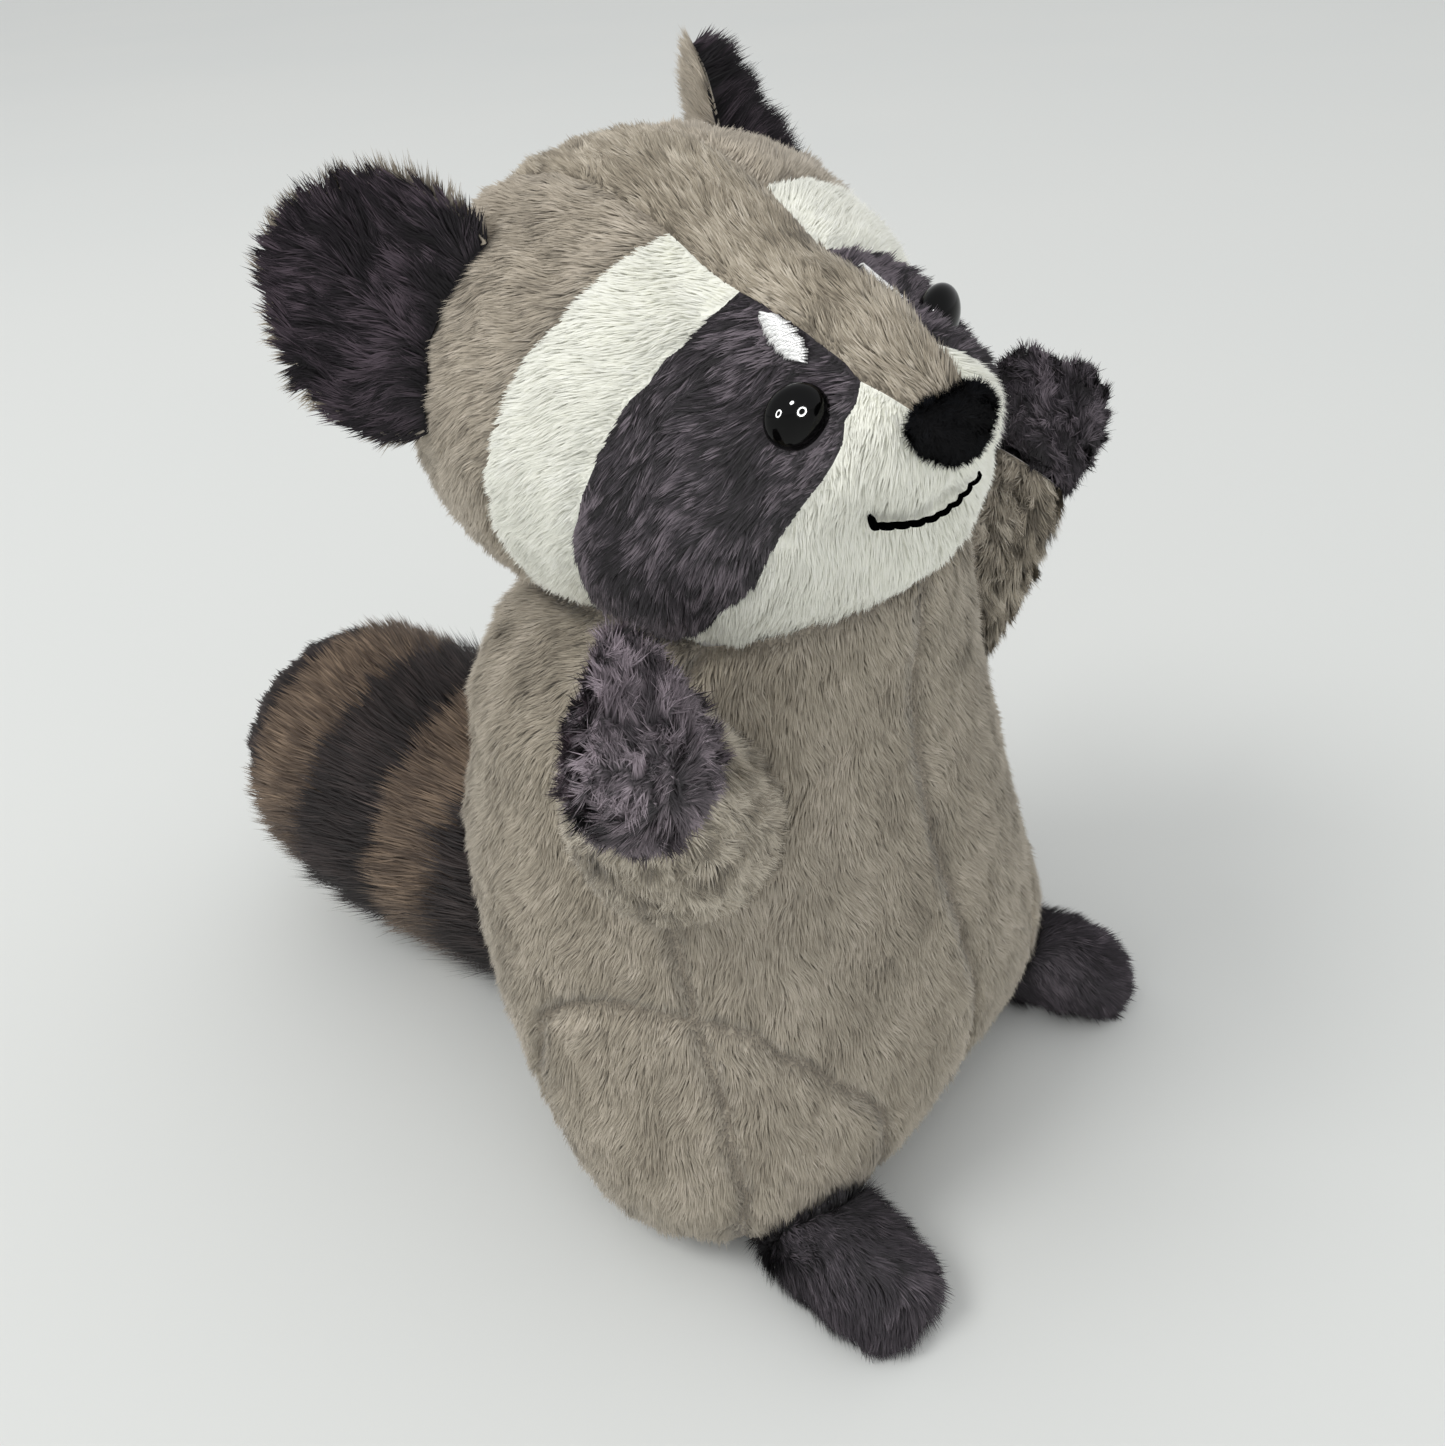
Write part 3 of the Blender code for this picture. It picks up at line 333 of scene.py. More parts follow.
def pelt(name, skin, number, finish, strokes, slot, pile=0.0038, per_mm2=5.4, lift=28.0,
         swirl=0.30, clump=0.0015, gather=0.40, width=0.00048, groove=0.0009, fade=0.0030,
         short=0.45, inset=CLOTH_DEPTH, bare=(), patch=0.012, bend=0.0, ragged=0.14,
         contrast=1.3):
    """One furry piece: its closed cloth backing with tapered tufts laid over it.

    A single fibre is too fine to show, so each tuft stands for a few dozen of them and
    is about half a millimetre wide at its root. Lengths are in metres and the lift, which
    is the tuft's slope over the cloth, is in degrees. The random draws start from the
    piece's name, so they are the same each run.
    """
    points, normals, seams, room, faces, panels = skin
    rng = np.random.default_rng(sum(map(ord, name)) * 7 + len(name))
    chosen = [face for face, panel in zip(faces, panels) if panel == number]
    used = np.unique([corner for face in chosen for corner in face])
    place = np.full(len(points), -1)
    place[used] = np.arange(len(used))
    chosen = [tuple(int(k) for k in place[list(face)]) for face in chosen]
    over, up = points[used], normals[used]
    depth = room[used] - CLOTH_THICK - CLOTH_OFF_FILLING
    off = nearest(over, seams)[1]
    sunk = np.minimum(inset + groove * np.exp(-((off / SEAM_REACH) ** 2)), depth)
    cloth = over - up * sunk[:, None]

    # Tufts are rooted evenly over the panel's area
    corners = np.array([(f[0], f[k], f[k + 1]) for f in chosen for k in range(1, len(f) - 1)])
    a, b, c = (over[corners[:, k]] for k in range(3))
    area = np.linalg.norm(np.cross(b - a, c - a), axis=1) / 2
    count = int(area.sum() * 1e6 * per_mm2)
    pick = rng.choice(len(corners), count, p=area / area.sum())
    share = rng.random((count, 2))
    share = np.where(share.sum(1, keepdims=True) > 1, 1 - share, share)
    weights = np.stack((1 - share.sum(1), share[:, 0], share[:, 1]), 1)
    surface = np.einsum("nk,nkd->nd", weights, over[corners[pick]])
    outside = unit(np.einsum("nk,nkd->nd", weights, up[corners[pick]]))
    space = np.einsum("nk,nk->n", weights, depth[corners[pick]])

    # Near a seam the cloth dips, the pile is shorter and it leans over the stitches
    which, gap = nearest(surface, seams)
    drop = np.exp(-((gap / SEAM_REACH) ** 2))
    root = surface - outside * np.minimum(inset + groove * drop, space)[:, None]
    toward = seams[which] - surface
    toward = unit(toward - outside * (toward * outside).sum(1, keepdims=True))
    slope = np.minimum(2.0 * gap / SEAM_REACH ** 2 * groove * drop * 1.3, 1.1)
    shade = unit(outside + toward * slope[:, None])
    way = combed(surface, strokes)
    way = unit(way - outside * (way * outside).sum(1, keepdims=True))
    side = np.cross(outside, way)
    turn = swirl * (waves(surface, patch, len(name)) + 0.40 * rng.normal(size=count))
    way = way * np.cos(turn)[:, None] + side * np.sin(turn)[:, None]
    long = pile * (1.0 + ragged * rng.normal(size=count) + 0.10 * waves(surface, patch * 0.7, 5))
    long = np.clip(long, pile * 0.5, pile * 1.5)
    near = np.clip(gap / fade, 0.0, 1.0)
    long *= short + (1.0 - short) * near * near * (3 - 2 * near)
    keep = np.ones(count, bool)

    # No tuft grows out of an eye, a nose or a stitch, and those close to it are cut short
    for spots, radius in bare:
        close = np.where(np.linalg.norm(surface - np.mean(spots, 0), axis=1) < radius + 0.02)[0]
        if len(close):
            reach = nearest(surface[close], spots)[1] - radius
            keep[close[reach < -0.0004]] = False
            long[close] *= np.clip(0.35 + reach / 0.004, 0.3, 1.0)
    angle = np.radians(lift + 6.0 * rng.normal(size=count) + 7.0 * waves(surface, patch * 0.5, 9))
    angle = np.clip(angle, 0.15, 1.40)
    tip = root + (way * np.cos(angle)[:, None] + outside * np.sin(angle)[:, None]) * long[:, None]

    # Fibres cling together in small locks that share one point
    locks = min(count, int(count / (per_mm2 * 1e6 * clump * clump)) + 1)
    middle = rng.choice(count, locks, replace=False)
    lock = nearest(surface, surface[middle])[0]
    hold = gather * (0.5 + 0.5 * rng.random(count))[:, None]
    pulled = tip + (tip[middle][lock] - tip) * hold
    tip = root + unit(pulled - root) * long[:, None]
    level = 0.11 * rng.normal(size=locks)[lock] + 0.08 * rng.normal(size=count)
    level = 0.5 + contrast * (level + 0.10 * waves(surface, patch * 1.6, 3))
    # Painted shade along the seams: tufts near the stitches are given darker tones
    level -= SEAM_PAINTED_SHADE * groove * np.exp(-((gap / SEAM_PAINTED_SHADE_REACH) ** 2))
    level = np.clip(level, 0.02, 0.95)
    across = unit(np.cross(tip - root, outside))
    tilt = 0.16 * contrast * rng.normal(size=(count, 1))
    lean = unit(shade + tilt * across + 0.12 * unit(tip - root))
    thick = width * (0.75 + 0.5 * rng.random(count))[:, None]
    root, tip, across, thick, level, lean, outside, long = (
        row[keep] for row in (root, tip, across, thick, level, lean, outside, long)
    )
    count = len(root)

    # A tuft is one tapered leaf, or three faces where it bends
    rings = [root - across * thick / 2, root + across * thick / 2, tip]
    rows = [((0, 1, 2), (0.0, 0.0, 1.0))]
    shift = np.array((-0.012, 0.012, 0.0))
    if bend > 0:
        arch = (root + tip) / 2 + outside * (bend * long)[:, None]
        rings = rings[:2] + [arch + across * thick * 0.42, arch - across * thick * 0.42, tip]
        rows = [
            ((0, 1, 2), (0.0, 0.0, 0.5)),
            ((0, 2, 3), (0.0, 0.5, 0.5)),
            ((3, 2, 4), (0.5, 0.5, 1.0)),
        ]
        shift = np.array((-0.012, 0.012, 0.012, -0.012, 0.0))
    tufts_at = np.stack(rings, 1)
    each = tufts_at.shape[1]

    # The backing is closed with an underside and a turned edge
    backing = bmesh.new()
    made = [backing.verts.new(p) for p in cloth]
    under = [backing.verts.new(p - n * CLOTH_THICK) for p, n in zip(cloth, up)]
    for face in chosen:
        backing.faces.new([made[k] for k in face])
    rims = []
    for edge in backing.edges:
        if edge.is_boundary:
            loop = edge.link_loops[0]
            rims.append((loop.vert, loop.link_loop_next.vert))
    backing.verts.index_update()
    for one, two in rims:
        backing.faces.new((two, one, under[one.index], under[two.index]))
    for face in chosen:
        backing.faces.new([under[k] for k in reversed(face)])
    base_at = np.array([v.co[:] for v in backing.verts])
    base_faces = [[v.index for v in face.verts] for face in backing.faces]
    backing.free()

    start = len(base_at)
    all_at = np.concatenate((base_at, tufts_at.reshape(-1, 3)))
    all_at[:, 2] = np.maximum(all_at[:, 2], FLOOR_CLEARANCE)
    all_normals = np.concatenate((up, -up, np.repeat(lean, each, 0)))
    first = start + np.arange(count) * each
    tufts = np.stack([first[:, None] + np.array(row) for row, _ in rows], 1).reshape(-1, 3)
    sizes = np.concatenate(([len(f) for f in base_faces], np.full(len(tufts), 3)))
    loops = np.concatenate((np.concatenate(base_faces), tufts.ravel()))
    # The backing sits low on the root-to-tip axis, so it carries part of the roots' painted shade
    tone = 0.45 + 0.10 * waves(base_at, patch * 1.6, 3)
    u_cloth = [tone[c] + 0.01 * (k % 2) for f in base_faces for k, c in enumerate(f)]
    v_cloth = [0.30 + 0.03 * (k // 2) for f in base_faces for k in range(len(f))]
    u_tuft = np.stack([level[:, None] + shift[list(row)] for row, _ in rows], 1)
    v_tuft = np.tile(np.array([rise for _, rise in rows]).ravel(), count)
    u_all = np.concatenate((u_cloth, u_tuft.ravel()))
    uv = np.stack((u_all, np.concatenate((v_cloth, v_tuft))), 1)

    mesh = bpy.data.meshes.new(name)
    mesh.vertices.add(len(all_at))
    mesh.vertices.foreach_set("co", all_at.ravel())
    mesh.loops.add(len(loops))
    mesh.loops.foreach_set("vertex_index", loops)
    mesh.polygons.add(len(sizes))
    mesh.polygons.foreach_set("loop_start", np.concatenate(([0], np.cumsum(sizes)[:-1])))
    mesh.update(calc_edges=True)
    mesh.uv_layers.new(name="OFBake").data.foreach_set("uv", uv.ravel())
    mesh.shade_smooth()
    mesh.normals_split_custom_set_from_vertices(all_normals)
    mesh.materials.append(finish)
    piece = bpy.data.objects.new(name, mesh)
    bpy.context.scene.collection.objects.link(piece)
    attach(piece, "root")
    return piece


def head_strokes(*rows, mirror=1.0):
    """Brush strokes given on the head's own axes, in millimetres, for its right side."""
    made = []
    turn = HEAD_PLACE.to_3x3()
    for place, way in rows:
        spot = Vector((place[0] * mirror, place[1], place[2])) * 0.001
        along = Vector((way[0] * mirror, way[1], way[2])).normalized()
        made.append(((HEAD_PLACE @ spot)[:], (turn @ along)[:]))
    return made


# Each finish has a dark, a middle and a pale tone for its tufts, and painted shade for the roots.
# Minky is knitted polyester with a dense cut pile, which looks matt and a little mottled
tan_pile = pile_finish("tan_minky_pile", "867C6D", "AFA492", "CCC1B0", "7F7666", 0.15)
white_pile = pile_finish("white_minky_pile", "ECECE0", "F9F9ED", "FFFFF6", "E8E8DB", 0.15)
curly_tan = pile_finish("curled_tan_pile", "655C4D", "A79C89", "D2C8B6", "5A5245", 0.1)
dark_pile = pile_finish("dark_minky_pile", "171316", "373137", "7A7077", "141013", 0.04, 0.10)

HEAD_NODES = (
    "head_crown",
    "head_side_l",
    "brow_stripe_l",
    "mask_l",
    "muzzle_l",
    "head_side_r",
    "brow_stripe_r",
    "mask_r",
    "muzzle_r",
)
head_skin = outer_skin(HEAD_NODES, "head_stuffing")
CROWN_STROKES = (
    ((0, -82, 38), (0, 0.4, 1)),
    ((0, -60, 55), (0, 0.8, 0.5)),
    ((0, -20, 83), (0, 1, 0.1)),
    ((0, 40, 80), (0.1, 0.8, -0.6)),
    ((0, 72, 30), (0, 0.1, -1)),
)
SIDE_STROKES = (
    ((-45, 5, 55), (-0.3, 0.8, -0.5)),
    ((-35, 45, 50), (0.1, 0.8, -0.7)),
    ((-10, 65, 25), (0.1, 0.1, -1)),
    ((-50, 10, 20), (0.0, 0.6, -0.8)),
)
STRIPE_STROKES = (
    ((-20, -25, 78), (-0.8, 0.7, -0.1)),
    ((-42, -15, 50), (-0.4, 0.9, -0.3)),
    ((-48, -12, 15), (-0.1, 0.8, -0.6)),
)
MASK_STROKES = (
    ((-12, -50, 55), (-0.8, 0.5, -0.1)),
    ((-24, -52, 40), (-0.7, 0.5, -0.5)),
    ((-38, -35, 35), (-0.4, 0.5, -0.8)),
    ((-38, -35, 5), (0.0, 0.2, -1)),
)
MUZZLE_STROKES = (
    ((-10, -76, 28), (-0.4, -0.2, -1)),
    ((-20, -60, 30), (-0.5, 0.1, -1)),
    ((-28, -50, 10), (-0.3, 0.5, -0.9)),
    ((0, -72, 10), (0, 0.2, -1)),
)

# The middle of the head, from which outward is told
HEAD_HEART = np.array(HEAD_PLACE @ Vector((0.0, -0.013, 0.031)))


def middle_and_axis(node, height):
    """Where a round CAD node sits and the way it points, from its own mesh."""
    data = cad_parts[node].data
    spots = np.array([v.co[:] for v in data.vertices])
    centre = spots.mean(0)
    sizes, ways = np.linalg.eigh(np.cov((spots - centre).T))
    lone = 0 if sizes[1] - sizes[0] > sizes[2] - sizes[1] else 2
    axis = ways[:, lone]
    if axis @ (centre - HEAD_HEART) < 0:
        axis = -axis
    along = (spots - centre) @ axis
    return Vector(centre + axis * (along.max() - height)), Vector(axis)


# The left eye and brow mark lie deeper, with pile over their edges
EYE_RADIUS = 0.006
EYE_DOME = 0.0038
EYE_CLEAR = {"l": EYE_RADIUS * 0.7, "r": EYE_RADIUS}
MARK_CLEAR = {"l": -0.0006, "r": 0.0002}
MASK_LIFT = {"l": 40.0, "r": 28.0}
NOSE_CLEAR = 0.0004
eyes = {side: middle_and_axis("eye_" + side, EYE_DOME) for side in "lr"}


def node_spots(node):
    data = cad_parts[node].data
    return np.unique(np.array([v.co[:] for v in data.vertices]).round(5), axis=0)


nose_spots = node_spots("nose")
mouth_spots = node_spots("mouth")
for side, mirror in (("l", -1.0), ("r", 1.0)):
    eye_spot = np.array([eyes[side][0][:]])
    by_eye = (
        (eye_spot, EYE_CLEAR[side]),
        (node_spots("brow_mark_" + side), MARK_CLEAR[side]),
    )
    by_nose = ((nose_spots, NOSE_CLEAR), (mouth_spots, NOSE_CLEAR))
    plain = {"pile": 0.0040, "swirl": 0.32}
    stripe = {"pile": 0.0036, "swirl": 0.20, "width": 0.00042}
    muzzle = {"pile": 0.0032, "swirl": 0.20, "width": 0.00042, "bare": by_nose}
    tufted = {
        "pile": 0.0040,
        "lift": MASK_LIFT[side],
        "swirl": 0.32,
        "contrast": 2.4,
        "gather": 0.55,
        "clump": 0.0019,
        "bare": by_eye,
    }
    for stem, strokes, finish, slot, look in (
        ("head_side_", SIDE_STROKES, tan_pile, "tan_cloth", plain),
        ("brow_stripe_", STRIPE_STROKES, white_pile, "white_cloth", stripe),
        ("mask_", MASK_STROKES, dark_pile, "dark_cloth", tufted),
        ("muzzle_", MUZZLE_STROKES, white_pile, "white_cloth", muzzle),
    ):
        node = stem + side
        brushed = head_strokes(*strokes, mirror=mirror)
        panel = HEAD_NODES.index(node)
        piece = pelt(node + "_pile", head_skin, panel, finish, brushed, slot, **look)
        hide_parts(node)
crown = pelt(
    "head_crown_pile",
    head_skin,
    0,
    curly_tan,
    head_strokes(*CROWN_STROKES),
    "tan_cloth",
    pile=0.0037,
    lift=25.0,
    swirl=0.36,
    bare=((nose_spots, NOSE_CLEAR),),
    contrast=1.35,
)
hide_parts("head_crown")

# Ears: two cut leaves each, dark inside and tan behind, sewn round the rim and turned.
# The pile of both is brushed out over the seam, so the rim shows as a ragged fringe.
EAR_ROOT = (-0.040, 0.015, 0.058)
EAR_TIP = (-0.058, 0.044, 0.083)
EAR_FACING = (-0.74, -0.60, 0.30)
EAR_RADIUS = 0.025
FAN_STROKES = 10
# The inner pile is painted darker than the mask's, as painted shade inside the cupped ear
ear_pile_painted_shade = pile_finish("dark_ear_pile", "0E0B0E", "1E191E", "554A52", "0B090B", 0.02, 0.05)
turned = HEAD_PLACE.to_3x3()
for side, mirror in (("l", -1.0), ("r", 1.0)):
    root = HEAD_PLACE @ Vector((EAR_ROOT[0] * mirror, EAR_ROOT[1], EAR_ROOT[2]))
    tip = HEAD_PLACE @ Vector((EAR_TIP[0] * mirror, EAR_TIP[1], EAR_TIP[2]))
    facing = turned @ Vector((EAR_FACING[0] * mirror, EAR_FACING[1], EAR_FACING[2]))
    rise = (tip - root).normalized()
    across = rise.cross(facing).normalized()
    heart = root.lerp(tip, 0.55)
    if side == "l":
        strokes = [
            (tip[:], (rise * 0.4 + right)[:]),
            (heart[:], (rise + right)[:]),
            (root[:], rise[:]),
        ]
        front_pile, front_lift = 0.0080, 50.0
    else:
        strokes = [(root[:], rise[:]), (heart[:], rise[:])]
        for k in range(FAN_STROKES):
            around = math.radians(-60 + k * 300 / (FAN_STROKES - 1))
            out = across * math.cos(around) + rise * math.sin(around)
            strokes.append(((heart + out * EAR_RADIUS)[:], (out * 0.9 + rise * 0.6)[:]))
        front_pile, front_lift = 0.0046, 27.0
    for stem, finish, slot, look, pile, lift in (
        ("ear_front_", ear_pile_painted_shade, "dark_cloth", facing, front_pile, front_lift),
        ("ear_back_", tan_pile, "tan_cloth", -facing, 0.0052, 27.0),
    ):
        leaf = outer_skin((stem + side,), keep=lambda normal: normal.dot(look) > 0.20)
        piece = pelt(
            stem + side + "_pile",
            leaf,
            0,
            finish,
            strokes,
            slot,
            pile=pile,
            per_mm2=5.0,
            lift=lift,
            groove=0.0,
            short=1.0,
            inset=0.0004,
            clump=0.0020,
            gather=0.60,
            swirl=0.50,
            ragged=0.18,
            contrast=1.6,
        )
        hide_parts(stem + side)

# Eyes: moulded black acrylic safety eyes with a high gloss, pressed through the mask.
# Scuffs about a millimetre across make the gloss a little uneven.
eye_gloss, tree, shader = new_material("moulded_black_acrylic")
where = add_node(tree, "ShaderNodeTexCoord").outputs["Object"]
scuff = add_node(tree, "ShaderNodeTexNoise", {"Scale": 900.0, "Detail": 2.0}, {"Vector": where})
worn = add_node(
    tree,
    "ShaderNodeMapRange",
    {"To Min": 0.03, "To Max": 0.07},
    {"Value": scuff.outputs["Fac"]},
)
tree.links.new(worn.outputs["Result"], shader.inputs["Roughness"])
shader.inputs["Base Color"].default_value = linear("050505")
shader.inputs["Specular IOR Level"].default_value = 0.16
EYE_SUNK = {"l": 0.0019, "r": 0.0}
for side in "lr":
    spot, axis = eyes[side]
    spot = spot - axis * EYE_SUNK[side]
    bpy.ops.mesh.primitive_uv_sphere_add(segments=48, ring_count=24, radius=EYE_RADIUS)
    dome = bpy.context.object
    dome.name = "eye_" + side + "_dome"
    dome.data.name = dome.name
    turn = axis.to_track_quat("Z", "Y").to_matrix().to_4x4()
    flatten = Matrix.Diagonal((1, 1, EYE_DOME / EYE_RADIUS, 1))
    dome.data.transform(Matrix.Translation(spot) @ turn @ flatten)
    dome.data.shade_smooth()
    dome.data.materials.append(eye_gloss)
    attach(dome, "root")
    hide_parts("eye_" + side)

# Ring lamps: three small white rings, which only the eyes' gloss picks up. Each stands
# where the right eye shows it at one spot, given in eye radii right of and above its middle.
RINGS = ((-0.67, 0.26, 0.05), (-0.02, 0.32, 0.05), (-0.30, 0.56, 0.02))
RING_REACH = 0.30
RING_THICK = 0.010
glow, tree, shader = new_material("ring_lamp_glow")
shader.inputs["Base Color"].default_value = linear("000000")
shader.inputs["Emission Color"].default_value = linear("FFFFFF")
shader.inputs["Emission Strength"].default_value = 140.0
spot, axis = eyes["r"]
shape = axis.to_track_quat("Z", "Y").to_matrix()
shape = shape @ Matrix.Diagonal((EYE_RADIUS, EYE_RADIUS, EYE_DOME))
for number, (aside, above, size) in enumerate(RINGS):
    aim = spot + axis * (EYE_DOME * 0.6)
    aim = aim + right * (EYE_RADIUS * aside) + top * (EYE_RADIUS * above)
    look = (aim - camera.location).normalized()
    start = shape.inverted() @ (camera.location - spot)
    step = shape.inverted() @ look
    half = start.dot(step) / step.dot(step)
    inside = half * half - (start.dot(start) - 1.0) / step.dot(step)
    reach = -half - math.sqrt(max(0.0, inside))
    touch = start + step * reach
    normal = (shape.inverted().transposed() @ touch).normalized()
    away = look - normal * (2 * look.dot(normal))
    bpy.ops.mesh.primitive_torus_add(
        major_radius=size,
        minor_radius=RING_THICK,
        location=camera.location + look * reach + away * RING_REACH,
        rotation=away.to_track_quat("Z", "Y").to_euler(),
    )
    ring = bpy.context.object
    ring.name = "ring_lamp_%d" % (number + 1)
    ring.data.materials.append(glow)
    ring.visible_camera = False
    ring.visible_diffuse = False
    ring.visible_shadow = False


# Brow marks and mouth: white rayon satin stitch side by side over each brow, which looks
# silky, and one line of short slanting stitches in dull black cotton.
MARK_THREADS = 27
MARK_HIGH = 0.0010
MARK_THREAD = 0.00023
MARK_SUNK = {"l": 0.0012, "r": 0.0002}
MOUTH_STITCHES = 9
MOUTH_THREAD = 0.00078
STITCH_OVERLAP = 0.16
STITCH_RISE = np.array((0.0001, 0.0007, 0.0010, 0.0010, 0.0007, 0.0001))


def add_threads(name, lines, radius, finish, taper=0.0):
    """One mesh of round threads along lists of points, thinner by the taper at the last."""
    sides = 6
    shape = bmesh.new()
    for number, line in enumerate(lines):
        thread = radius * (1.0 - taper * number / len(lines))
        spots = [Vector(point) for point in line]
        rings = []
        for k, point in enumerate(spots):
            along = (spots[min(k + 1, len(spots) - 1)] - spots[max(k - 1, 0)]).normalized()
            turn = along.to_track_quat("Z", "Y").to_matrix()
            thin = thread * (0.55 if k in (0, len(spots) - 1) else 1.0)
            ring = []
            for j in range(sides):
                a = 2 * math.pi * j / sides
                out = Vector((thin * math.cos(a), thin * math.sin(a), 0.0))
                ring.append(shape.verts.new(point + turn @ out))
            rings.append(ring)
        for one, two in zip(rings[:-1], rings[1:]):
            for j in range(sides):
                after = (j + 1) % sides
                shape.faces.new((one[j], one[after], two[after], two[j]))
        shape.faces.new(list(reversed(rings[0])))
        shape.faces.new(rings[-1])
    mesh = bpy.data.meshes.new(name)
    shape.to_mesh(mesh)
    shape.free()
    mesh.shade_smooth()
    mesh.materials.append(finish)
    piece = bpy.data.objects.new(name, mesh)
    bpy.context.scene.collection.objects.link(piece)
    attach(piece, "root")
    return piece


# Twisted thread shows as fine slanting bands of two tones, a third of a millimetre apart,
# painted as the light and shade on the twist of its ply
twist_light_and_shade = {"Scale": 900.0, "Distortion": 2.0}
satin = two_tones(
    "white_rayon_thread", "ShaderNodeTexWave", twist_light_and_shade, "C4C4C2", "FAFAF8", 0.35, 0.5
)
for side in "lr":
    spots = node_spots("brow_mark_" + side)
    centre = spots.mean(0)
    ways = np.linalg.eigh(np.cov((spots - centre).T))[1]
    outside = ways[:, 0] * np.sign(ways[:, 0] @ (centre - HEAD_HEART))
    longways, across = ways[:, 2], ways[:, 1]
    half_long = np.abs((spots - centre) @ longways).max() * 0.92
    half_wide = np.abs((spots - centre) @ across).max() * 0.86
    low = ((spots - centre) @ outside).min()
    rng = np.random.default_rng(11)
    lines = []
    for k in range(MARK_THREADS):
        along = -1 + 2 * (k + 0.5) / MARK_THREADS
        wide = half_wide * math.sqrt(1 - along * along) * rng.uniform(0.86, 1.10)
        line = []
        for share in np.linspace(-1, 1, 7):
            high = low - MARK_SUNK[side]
            high += MARK_HIGH * (1 - share ** 4) + rng.uniform(-0.00008, 0.00008)
            line.append(
                centre
                + longways * (half_long * along * 0.97 + 0.0010 * share)
                + across * wide * share
                + outside * high
            )
        lines.append(line)
    name = "brow_mark_" + side
    mark = add_threads(name + "_satin", lines, MARK_THREAD, satin)
    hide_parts(name)

cotton = two_tones(
    "black_cotton_thread", "ShaderNodeTexWave", twist_light_and_shade, "010101", "040405", 0.95, 0.0
)
centre = mouth_spots.mean(0)
ways = np.linalg.eigh(np.cov((mouth_spots - centre).T))[1]
along = (mouth_spots - centre) @ ways[:, 2]
ends = np.linspace(along.min(), along.max(), MOUTH_STITCHES + 1)
middles = []
for low, high in zip(ends[:-1], ends[1:]):
    held = mouth_spots[(along >= low - 0.0008) & (along <= high + 0.0008)]
    middles.append(held.mean(0))
middles = np.array(middles)
if (middles[-1] - middles[0]) @ np.array(right) < 0:
    middles = middles[::-1]
brow_way = np.array(HEAD_PLACE.to_3x3() @ Vector((0.0, 0.0, 1.0)))
middles = np.concatenate(([middles[0] + brow_way * 0.0032], middles + brow_way * 0.0013))
steps = np.linalg.norm(np.diff(middles, axis=0), axis=1)
lengths = np.concatenate(([0.0], np.cumsum(steps)))
lines = []
for k in range(MOUTH_STITCHES):
    shares = np.linspace(k, k + 1 + STITCH_OVERLAP, len(STITCH_RISE))
    shares = shares / (MOUTH_STITCHES + STITCH_OVERLAP) * lengths[-1]
    line = np.stack([np.interp(shares, lengths, middles[:, axis]) for axis in range(3)], 1)
    lines.append(line + unit(line - HEAD_HEART) * STITCH_RISE[:, None])
mouth = add_threads("mouth_stitches", lines, MOUTH_THREAD, cotton, taper=0.5)
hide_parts("mouth")

# Nose: a pad of black wool felt glued and stitched on the muzzle's end. Short loose
# hairs stand off it every way, so it looks dull and soft.
felt = pile_finish("black_wool_felt", "020203", "050608", "101216", "010102", 0.0, 0.02)
nose = pelt(
    "nose_felt",
    outer_skin(("nose",), levels=2),
    0,
    felt,
    head_strokes(((0, -80, 35), (0.3, -0.2, -1))),
    "nose_felt",
    pile=0.0016,
    per_mm2=24.0,
    lift=40.0,
    swirl=1.6,
    clump=0.0009,
    width=0.00022,
    groove=0.0,
    inset=0.0002,
    patch=0.003,
    ragged=0.3,
)
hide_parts("nose")

# Body: front, back and thigh panels of tan pile, sewn round a flat base. Their pile is
# coloured a shade darker and duller than the head's.
body_tan = pile_finish("worn_tan_minky_pile", "827868", "A89E8C", "C6BBAA", "7B7263")
BODY_NODES = (
    "body_front_l",
    "body_back_l",
    "thigh_front_l",
    "thigh_back_l",
    "body_front_r",
    "body_back_r",
    "thigh_front_r",
    "thigh_back_r",
    "body_base",
)
BODY_STROKES = (
    ((-0.06, -0.03, 0.05), (0.05, 0.0, -1)),
    ((0.06, -0.03, 0.05), (-0.05, 0.0, -1)),
    ((0.0, -0.06, 0.10), (0.1, 0.0, -1)),
    ((0.0, 0.08, 0.08), (0.0, 0.1, -1)),
    ((-0.06, 0.0, 0.12), (-0.3, 0.2, -1)),
    ((0.06, 0.0, 0.12), (0.3, 0.2, -1)),
)
BASE_STROKES = (((0, 0, 0), (0, 1, 0)),)
body_skin = outer_skin(BODY_NODES, "body_stuffing")
for number, node in enumerate(BODY_NODES):
    strokes = BODY_STROKES
    look = {"per_mm2": 5.2, "groove": 0.0026}
    if node == "body_base":
        strokes = BASE_STROKES
        look = {"pile": 0.0010, "per_mm2": 0.2, "inset": 0.0004, "groove": 0.0}
    piece = pelt(
        node + "_pile",
        body_skin,
        number,
        body_tan,
        strokes,
        "tan_cloth",
        short=0.30,
        fade=0.0042,
        swirl=0.40,
        contrast=1.1,
        **look,
    )
    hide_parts(node)
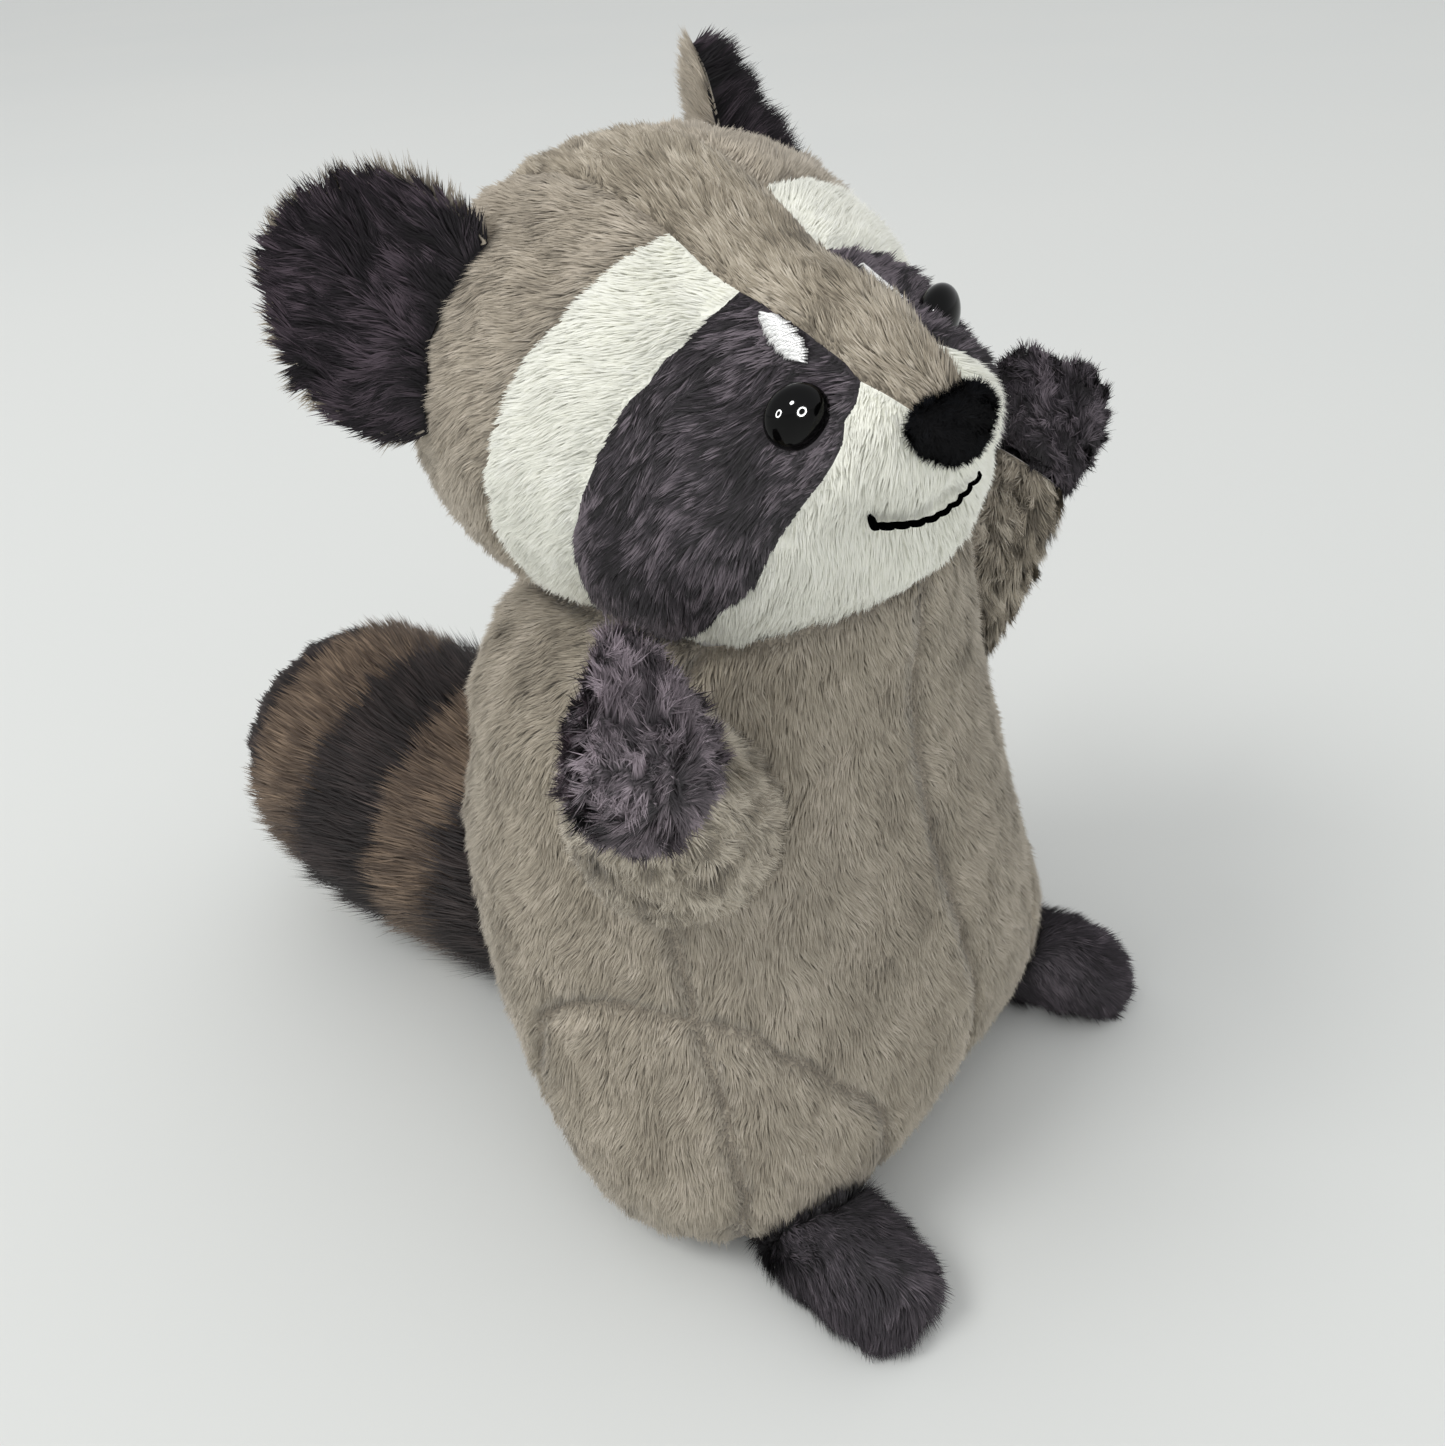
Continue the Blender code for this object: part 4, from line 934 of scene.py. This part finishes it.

# Sleeves, hands and feet: tan tubes closed by a dark mitten, and two dark stuffed feet.
# Both hands' pile stands in curls. The right hand's is a copy of the dark pile painted
# lighter as if lit, with pale tips, and the left hand keeps the darker pile.
lit_dark_pile = pile_finish("curled_dark_pile", "2C262B", "645A60", "A99BA3", "1F1A1E", 0.05, 0.10)
for side, sign in (("l", 1.0), ("r", -1.0)):
    piece = pelt(
        "sleeve_" + side + "_pile",
        outer_skin(("sleeve_" + side,), "arm_stuffing_" + side),
        0,
        curly_tan,
        [
            ((sign * 0.06, -0.02, 0.12), (-sign * 0.5, 0.1, -1)),
            ((sign * 0.04, -0.02, 0.11), (-sign * 0.8, 0.2, -0.7)),
            ((sign * 0.08, -0.02, 0.14), (-sign * 0.2, 0.2, -1)),
        ],
        "tan_cloth",
        pile=0.0046,
        lift=32.0,
        swirl=0.80,
        patch=0.010,
        clump=0.0024,
        gather=0.65,
        fade=0.001,
        groove=0.0,
        contrast=2.2,
    )
    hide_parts("sleeve_" + side)
    low, high = (Vector(corner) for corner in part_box("hand_" + side))
    centre = (low + high) / 2
    # Painted light: the right hand takes the dark pile painted lighter, the left the plain one
    piece = pelt(
        "hand_" + side + "_pile",
        outer_skin(("hand_" + side,)),
        0,
        lit_dark_pile if side == "r" else dark_pile,
        [
            ((centre + Vector((0, 0, 0.02)))[:], (0, 0, 1)),
            ((centre + Vector((0.015, 0, 0)))[:], (1, 0, 0.2)),
            ((centre + Vector((-0.015, 0, 0)))[:], (-1, 0, 0.2)),
            ((centre + Vector((0, 0, -0.02)))[:], (0, 0, -1)),
        ],
        "dark_cloth",
        pile=0.0040,
        lift=24.0,
        swirl=1.5,
        patch=0.007,
        clump=0.0024,
        gather=0.85,
        groove=0.0,
        inset=0.0018,
        ragged=0.15,
        contrast=1.9,
    )
    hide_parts("hand_" + side)
    piece = pelt(
        "foot_" + side + "_pile",
        outer_skin(("foot_" + side,), keep=lambda normal: normal.z > -0.95),
        0,
        dark_pile,
        [
            ((sign * 0.056, -0.05, 0.02), (sign * 0.2, -1, 0.1)),
            ((sign * 0.075, -0.07, 0.01), (sign * 1, -0.4, -0.3)),
            ((sign * 0.040, -0.07, 0.01), (-sign * 1, -0.6, -0.3)),
        ],
        "dark_cloth",
        pile=0.0050,
        lift=36.0,
        swirl=0.45,
        clump=0.0016,
        groove=0.0,
        inset=0.0016,
        contrast=1.0,
    )
    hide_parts("foot_" + side)

# Tail: rings of long-pile fun fur, dark and brown by turns, over one stuffed core.
# Each ring's pile is brushed to the tip and spills over the next seam.
tail_brown = pile_finish("brown_fun_fur", "3E3128", "605144", "8F7B67", "2A221C", 0.08)
tail_dark = pile_finish("dark_fun_fur", "171312", "282221", "4A403E", "110E0D", 0.05)
TAIL_BANDS = (
    ("tail_dark_1", tail_dark, "tail_dark_pile", 0.0190, 22.0),
    ("tail_brown_2", tail_brown, "tail_brown_pile", 0.0120, 31.0),
    ("tail_dark_3", tail_dark, "tail_dark_pile", 0.0125, 29.0),
    ("tail_brown_4", tail_brown, "tail_brown_pile", 0.0090, 36.0),
    ("tail_dark_5", tail_dark, "tail_dark_pile", 0.0050, 33.0),
)
tail_skin = outer_skin([row[0] for row in TAIL_BANDS], "tail_stuffing")
for number, (node, finish, slot, pile, lift) in enumerate(TAIL_BANDS):
    piece = pelt(
        node + "_pile",
        tail_skin,
        number,
        finish,
        [((0, 0.12, 0.05), (0, 1, 0.22))],
        slot,
        pile=pile,
        per_mm2=2.9,
        lift=lift,
        swirl=0.16,
        clump=0.0024,
        gather=0.30,
        width=0.00046,
        groove=0.0,
        fade=0.0040,
        short=0.75,
        bend=0.10,
        ragged=0.18,
    )
    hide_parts(node)

# Filling and eye washers, which stay inside: loose polyester fibre and moulded nylon.
# The fibre is white and matt in flocks of about 4 mm, and the nylon milky and half matt.
fluff = {"Scale": 260.0, "Detail": 6.0}
fibre = two_tones(
    "loose_polyester_fibre", "ShaderNodeTexNoise", fluff, "E4E1D8", "F4F2EC", 0.95, 0.5
)
nylon, tree, shader = new_material("moulded_nylon")
where = add_node(tree, "ShaderNodeTexCoord").outputs["Object"]
mottle = add_node(tree, "ShaderNodeTexNoise", {"Scale": 700.0}, {"Vector": where})
worn = add_node(
    tree,
    "ShaderNodeMapRange",
    {"To Min": 0.40, "To Max": 0.50},
    {"Value": mottle.outputs["Fac"]},
)
tree.links.new(worn.outputs["Result"], shader.inputs["Roughness"])
shader.inputs["Base Color"].default_value = linear("D8D8D2")
for name, finish in (
    ("head_stuffing", fibre),
    ("body_stuffing", fibre),
    ("arm_stuffing_l", fibre),
    ("arm_stuffing_r", fibre),
    ("tail_stuffing", fibre),
    ("eye_washer_l", nylon),
    ("eye_washer_r", nylon),
):
    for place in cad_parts[name].material_slots:
        place.material = finish
